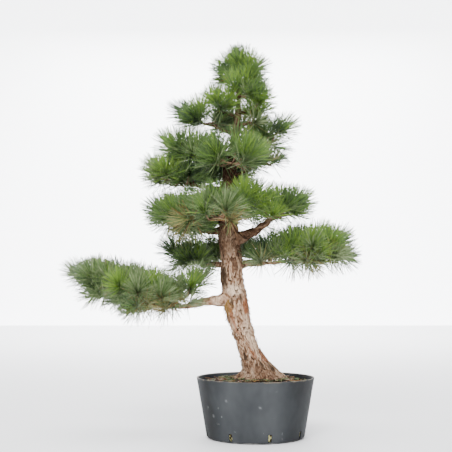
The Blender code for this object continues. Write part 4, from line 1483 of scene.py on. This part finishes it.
def soil_places(count, rng, near_trunk=0.0):
    """Points spread over the soil, clear of the trunk's foot; some gather round it."""
    rim = wall_radius(SOIL_LEVEL)
    places = []
    while len(places) < count:
        azimuth = rng.uniform(0, 360)
        foot = TRUNK_LINE[0][3] + flare_at(azimuth, SOIL_LEVEL)
        if rng.uniform() < near_trunk:
            off = foot + rng.exponential(BY_TRUNK_REACH)
        else:
            off = (rim - LITTER_EDGE) * math.sqrt(rng.uniform())
        x, y = heading(azimuth)[:2] * off + (TRUNK_LINE[0][1] * (off < FOOT_REACH), 0)
        if off > foot and math.hypot(x, y) < rim - LITTER_LIMIT:
            places.append((x, y))
    places = np.array(places)
    return np.column_stack([places, soil_height(places[:, 0], places[:, 1])])


def make_litter(needle_materials, rng):
    """Fallen needles and tufts of moss on the soil."""
    order, count = list(SHADES), FALLEN_NEEDLES
    roots = soil_places(count, rng) + UP * FALLEN_HEIGHT
    turn = rng.uniform(0, 2 * math.pi, count)
    ways = units(level_ways(turn) + UP * rng.normal(0, FALLEN_TILT, (count, 1)))
    lengths = rng.uniform(*FALLEN_LENGTHS, count)
    reach = np.linalg.norm((roots + ways * lengths[:, None])[:, :2], axis=1)
    lengths = np.where(reach > wall_radius(SOIL_LEVEL) - FALLEN_LIMIT, FALLEN_BY_WALL, lengths)
    kinds = [order.index(deal(FALLEN_SHARES, rng)) for _ in range(count)]
    bends = rng.normal(size=(count, 3)) * FALLEN_BENDS
    tufts = np.repeat(soil_places(MOSS_TUFTS, rng, MOSS_BY_TRUNK), MOSS_BLADES, axis=0)
    moss = tufts + rng.normal(size=tufts.shape) * (MOSS_SPREAD, MOSS_SPREAD, 0.0)
    up = units(UP + rng.normal(0, MOSS_TIP, moss.shape) * (1, 1, 0))
    fine = rng.uniform(*MOSS_LENGTHS, len(moss))
    greens = rng.choice([order.index(name) for name in MOSS_SHADES], len(moss))
    mesh = needle_mesh(
        "litter",
        np.vstack([roots, moss]),
        np.vstack([ways, up]),
        np.concatenate([lengths, fine]),
        np.vstack([bends, MOSS_BEND * rng.normal(size=moss.shape)]),
        np.concatenate([kinds, greens]),
        FALLEN_RADIUS,
    )
    as_object("litter", mesh, "soil", *needle_materials)


def make_chips(bark, rng):
    """Scraps of bark on the soil."""
    count = CHIPS.count
    along = level_ways(rng.uniform(0, 2 * math.pi, count))
    tipped = units(UP + rng.normal(0, CHIP_TIP, (count, 3)) * (1, 1, 0))
    roots = soil_places(count, rng, CHIPS_BY_TRUNK) + UP * CHIP_HEIGHT
    points = scale_points(roots, along, tipped, CHIPS, rng)
    flake = rng.uniform(*CHIP_FLAKES, count)
    cavity = rng.triangular(*CHIP_CAVITIES, count)
    scale_piece("bark_chips", points, "soil", bark, flake=flake, cavity=cavity)


# Materials


class Nodes:
    """Short calls for a material's nodes."""

    def __init__(self, name, roughness, specular=0.5):
        self.material = bpy.data.materials.new(name)
        self.material.use_nodes = True
        self.tree = self.material.node_tree
        self.shader = self.tree.nodes["Principled BSDF"]
        self.set(self.shader, ("Roughness", "Specular IOR Level"), (roughness, specular))

    def node(self, kind, **settings):
        made = self.tree.nodes.new(kind)
        for key, value in settings.items():
            setattr(made, key, value)
        return made

    def set(self, node, names, values):
        """Sets each named input of a node to a number or colour, or links it to a socket."""
        for name, value in zip(names, values):
            if isinstance(value, bpy.types.NodeSocket):
                self.tree.links.new(value, node.inputs[name])
            else:
                node.inputs[name].default_value = value

    def place(self, scale=(1, 1, 1)):
        """The object's own coordinates, scaled."""
        mapping = self.node("ShaderNodeMapping")
        where = self.node("ShaderNodeTexCoord").outputs["Object"]
        self.set(mapping, ("Vector", "Scale"), (where, scale))
        return mapping.outputs["Vector"]

    def axes(self):
        """The object's own x, y and z."""
        made = self.node("ShaderNodeSeparateXYZ")
        self.set(made, ("Vector",), (self.place(),))
        return made.outputs

    def noise(self, scale, detail=4, stretch=(1, 1, 1), roughness=0.6):
        made = self.node("ShaderNodeTexNoise")
        names = ("Vector", "Scale", "Detail", "Roughness")
        self.set(made, names, (self.place(stretch), scale, detail, roughness))
        return made.outputs["Fac"]

    def values(self, name):
        return self.node("ShaderNodeAttribute", attribute_name=name).outputs["Fac"]

    def spread(self, value, low, high, to_low=0.0, to_high=1.0):
        made = self.node("ShaderNodeMapRange", interpolation_type="SMOOTHSTEP")
        names = ("Value", "From Min", "From Max", "To Min", "To Max")
        self.set(made, names, (value, low, high, to_low, to_high))
        return made.outputs["Result"]

    def maths(self, operation, *values):
        made = self.node("ShaderNodeMath", operation=operation)
        self.set(made, range(len(values)), values)
        return made.outputs[0]

    def plus(self, a, b):
        return self.maths("ADD", a, b)

    def times(self, a, b):
        return self.maths("MULTIPLY", a, b)

    def ramp(self, value, stops):
        made = self.node("ShaderNodeValToRGB")
        elements = made.color_ramp.elements
        while len(elements) < len(stops):
            elements.new(0.5)
        for element, (place, colour) in zip(elements, stops):
            element.position = place
            element.color = (*colour, 1)
        self.set(made, ("Fac",), (value,))
        return made.outputs["Color"]

    def mix(self, share, a, b, blend="MIX"):
        made = self.node("ShaderNodeMix", data_type="RGBA", blend_type=blend)
        a, b = ((*value, 1) if isinstance(value, tuple) else value for value in (a, b))
        self.set(made, ("Factor", 6, 7), (share, a, b))
        return made.outputs[2]

    def bump(self, height, distance, strength=1.0):
        made = self.node("ShaderNodeBump")
        self.set(made, ("Height", "Distance", "Strength"), (height, distance, strength))
        self.set(self.shader, ("Normal",), (made.outputs["Normal"],))

    def colour(self, value):
        self.set(self.shader, ("Base Color",), (value,))


def bark_material():
    """Pale flakes over brown, with painted shade in the hollows over the darker bark of the cracks and a
    painted highlight on the raised flakes, browner at the foot and up the trunk, with patches.
    """
    n = Nodes("bark", 0.9, 0.2)
    fibres = n.noise(240, 5, (1, 1, 0.22), 0.68)
    blotches = n.noise(62, 4, (1, 1, 0.38), 0.65)
    patches = n.noise(22, 4, (1, 1, 0.5))
    height = n.plus(n.axes()["Z"], n.times(patches, 0.10))
    mottled = n.plus(n.times(blotches, 0.42), n.times(patches, 0.22))
    flakes = n.ramp(n.plus(n.times(n.values("flake"), 0.38), mottled), BARK_TONES)
    streaked = n.mix(n.spread(fibres, 0.36, 0.58, 0.6, 0.0), flakes, BARK_STREAK)
    # Painted highlight: raised flakes are lightened towards the crest colour
    crest_highlight = n.spread(n.values("cavity"), 0.12, 0.46, 0.42, 0.0)
    lit = n.mix(crest_highlight, streaked, BARK_CREST_HIGHLIGHT)
    upper = n.spread(height, 0.44, 0.54, 0.0, 0.8)
    foot = n.spread(height, 0.262, 0.222, 0.0, 0.55)
    browned = n.mix(n.maths("MAXIMUM", upper, foot), lit, n.mix(1.0, lit, BARK_UPPER, "MULTIPLY"))
    for kind, colour in BARK_PATCH_COLOURS.items():
        browned = n.mix(n.values(kind), browned, n.mix(0.12, colour, flakes))
    # Painted shade: the hollows darken towards the hollow colour, which also stands for the darker bark
    # of the cracks
    hollow = n.spread(n.values("cavity"), 0.50, 0.84)
    cracks_and_shade = n.times(hollow, n.spread(n.noise(38, 3, (1, 1, 0.4)), 0.36, 0.58, 0.40, 1.0))
    n.colour(n.mix(cracks_and_shade, browned, BARK_HOLLOW_SHADE))
    n.bump(n.plus(fibres, n.noise(620, 3)), 0.0007, 0.9)
    return n.material


def twig_material():
    n = Nodes("twig", 0.85)
    n.colour(n.ramp(n.noise(420, 3), TWIG_TONES))
    n.bump(n.noise(900, 2), 0.0004, 0.8)
    return n.material


def pot_material():
    """Dull blue-grey plastic, cloudy and dusty, with pale scuffs, a worn rim and a pale foot, and painted
    shade towards its left and right sides.
    """
    n = Nodes("pot_plastic", 0.6, 0.15)
    axes = n.axes()
    # Painted shade: the plastic is lighter near the middle of its width from left to right and darker
    # towards its left and right sides
    aside = n.maths("ABSOLUTE", n.plus(axes["X"], 0.012))
    painted_middle_light = n.times(n.spread(aside, 0.120, 0.050), 0.26)
    base = n.ramp(n.plus(n.times(n.noise(11, 3, (1, 1, 0.6)), 0.55), painted_middle_light), POT_TONES)
    height = n.plus(axes["Z"], n.times(n.noise(60, 3), 0.006))
    scratched = n.times(n.spread(n.noise(55, 6, (1, 1, 0.35), 0.75), 0.66, 0.72), 0.5)
    worn = n.mix(scratched, base, POT_SCUFF)
    rim = n.times(n.spread(height, 0.1520, 0.1548), n.spread(n.noise(30, 4), 0.42, 0.56, 0.1, 0.9))
    foot = n.times(n.spread(height, 0.0075, 0.0035), n.spread(n.noise(45, 4), 0.40, 0.60, 0.2, 0.8))
    dusty = n.mix(foot, n.mix(rim, worn, POT_RIM_DUST), POT_FOOT_DUST)
    ragged = n.times(n.noise(150, 5, (1, 1, 1), 0.75), 0.024)
    for azimuth, level, size in POT_SCUFFS:
        near = n.node("ShaderNodeVectorMath", operation="DISTANCE")
        n.set(near, (0, 1), (n.place(), heading(azimuth) * wall_radius(level) + UP * level))
        off = n.plus(near.outputs["Value"], ragged)
        dusty = n.mix(n.spread(off, 0.0118 + size, 0.0095, 0.0, 0.5), dusty, POT_SCUFF)
    n.colour(dusty)
    n.bump(n.noise(500, 3), 0.0003, 0.4)
    return n.material


def soil_material():
    """Dark crumbs of soil, with pale roots low down where the slots show them."""
    n = Nodes("soil", 0.95, 0.05)
    low = n.spread(n.axes()["Z"], 0.040, 0.026)
    roots = n.times(low, n.spread(n.noise(170, 3, (1, 1, 0.5)), 0.46, 0.54))
    n.colour(n.mix(roots, n.ramp(n.noise(240, 5), SOIL_TONES), ROOT_COLOUR))
    n.bump(n.noise(420, 5), 0.0012)
    return n.material


def needle_materials():
    """One plain material for each shade of needle."""
    made = []
    for name, shade in SHADES.items():
        n = Nodes("needle_" + name, 0.42, 0.35)
        n.colour((*shade.colour, 1))
        made.append(n.material)
    return made


# Stage


def make_camera():
    data = bpy.data.cameras.new("camera")
    data.sensor_width = SENSOR_WIDTH
    data.lens = CAMERA_LENS
    camera = bpy.data.objects.new("camera", data)
    camera.location = CAMERA_PLACE
    camera.rotation_euler = (math.radians(90 + CAMERA_PITCH), 0, 0)
    bpy.context.scene.collection.objects.link(camera)
    bpy.context.scene.camera = camera


def area_light(light):
    data = bpy.data.lights.new(light.name, "AREA")
    data.size, data.energy = light.size, light.power
    made = bpy.data.objects.new(light.name, data)
    made.location = light.place
    way = Vector(light.target) - Vector(light.place)
    made.rotation_euler = way.to_track_quat("-Z", "Y").to_euler()
    bpy.context.scene.collection.objects.link(made)


def stage_plane(name, size, place, pitch, colour, glow=0.0):
    """A plain plane that stands or lies round the plant."""
    turn = (math.radians(pitch), 0, 0)
    bpy.ops.mesh.primitive_plane_add(size=size, location=place, rotation=turn)
    made = bpy.context.object
    made.name = name
    n = Nodes(name, 0.9)
    n.colour((*colour, 1))
    n.set(n.shader, ("Emission Color", "Emission Strength"), ((*colour, 1), glow))
    made.data.materials.append(n.material)


def make_stage():
    """A pale floor, a bright backdrop, soft lights from the front and above, and a pale room."""
    stage_plane("floor", FLOOR_SIZE, (0, 0, 0), 0, FLOOR_COLOUR)
    back = (0, BACKDROP_DISTANCE, 0)
    stage_plane("backdrop", BACKDROP_SIZE, back, 90, BACKDROP_COLOUR, BACKDROP_GLOW)
    world = bpy.data.worlds.new("room")
    world.use_nodes = True
    room = world.node_tree.nodes["Background"]
    room.inputs["Color"].default_value = (*ROOM_COLOUR, 1)
    room.inputs["Strength"].default_value = ROOM_LIGHT
    bpy.context.scene.world = world
    for light in LIGHTS:
        area_light(light)


def main():
    for old in list(bpy.data.objects):
        bpy.data.objects.remove(old)
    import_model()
    bark = bark_material()
    make_pot(pot_material())
    make_soil(soil_material())
    trunk_surface(bark)
    limb_surfaces(bark)
    bark_scales(bark)
    greens = needle_materials()
    rng = np.random.default_rng(SEEDS["litter"])
    make_litter(greens, rng)
    make_chips(bark, rng)
    make_foliage(twig_material(), greens)
    make_camera()
    make_stage()


main()
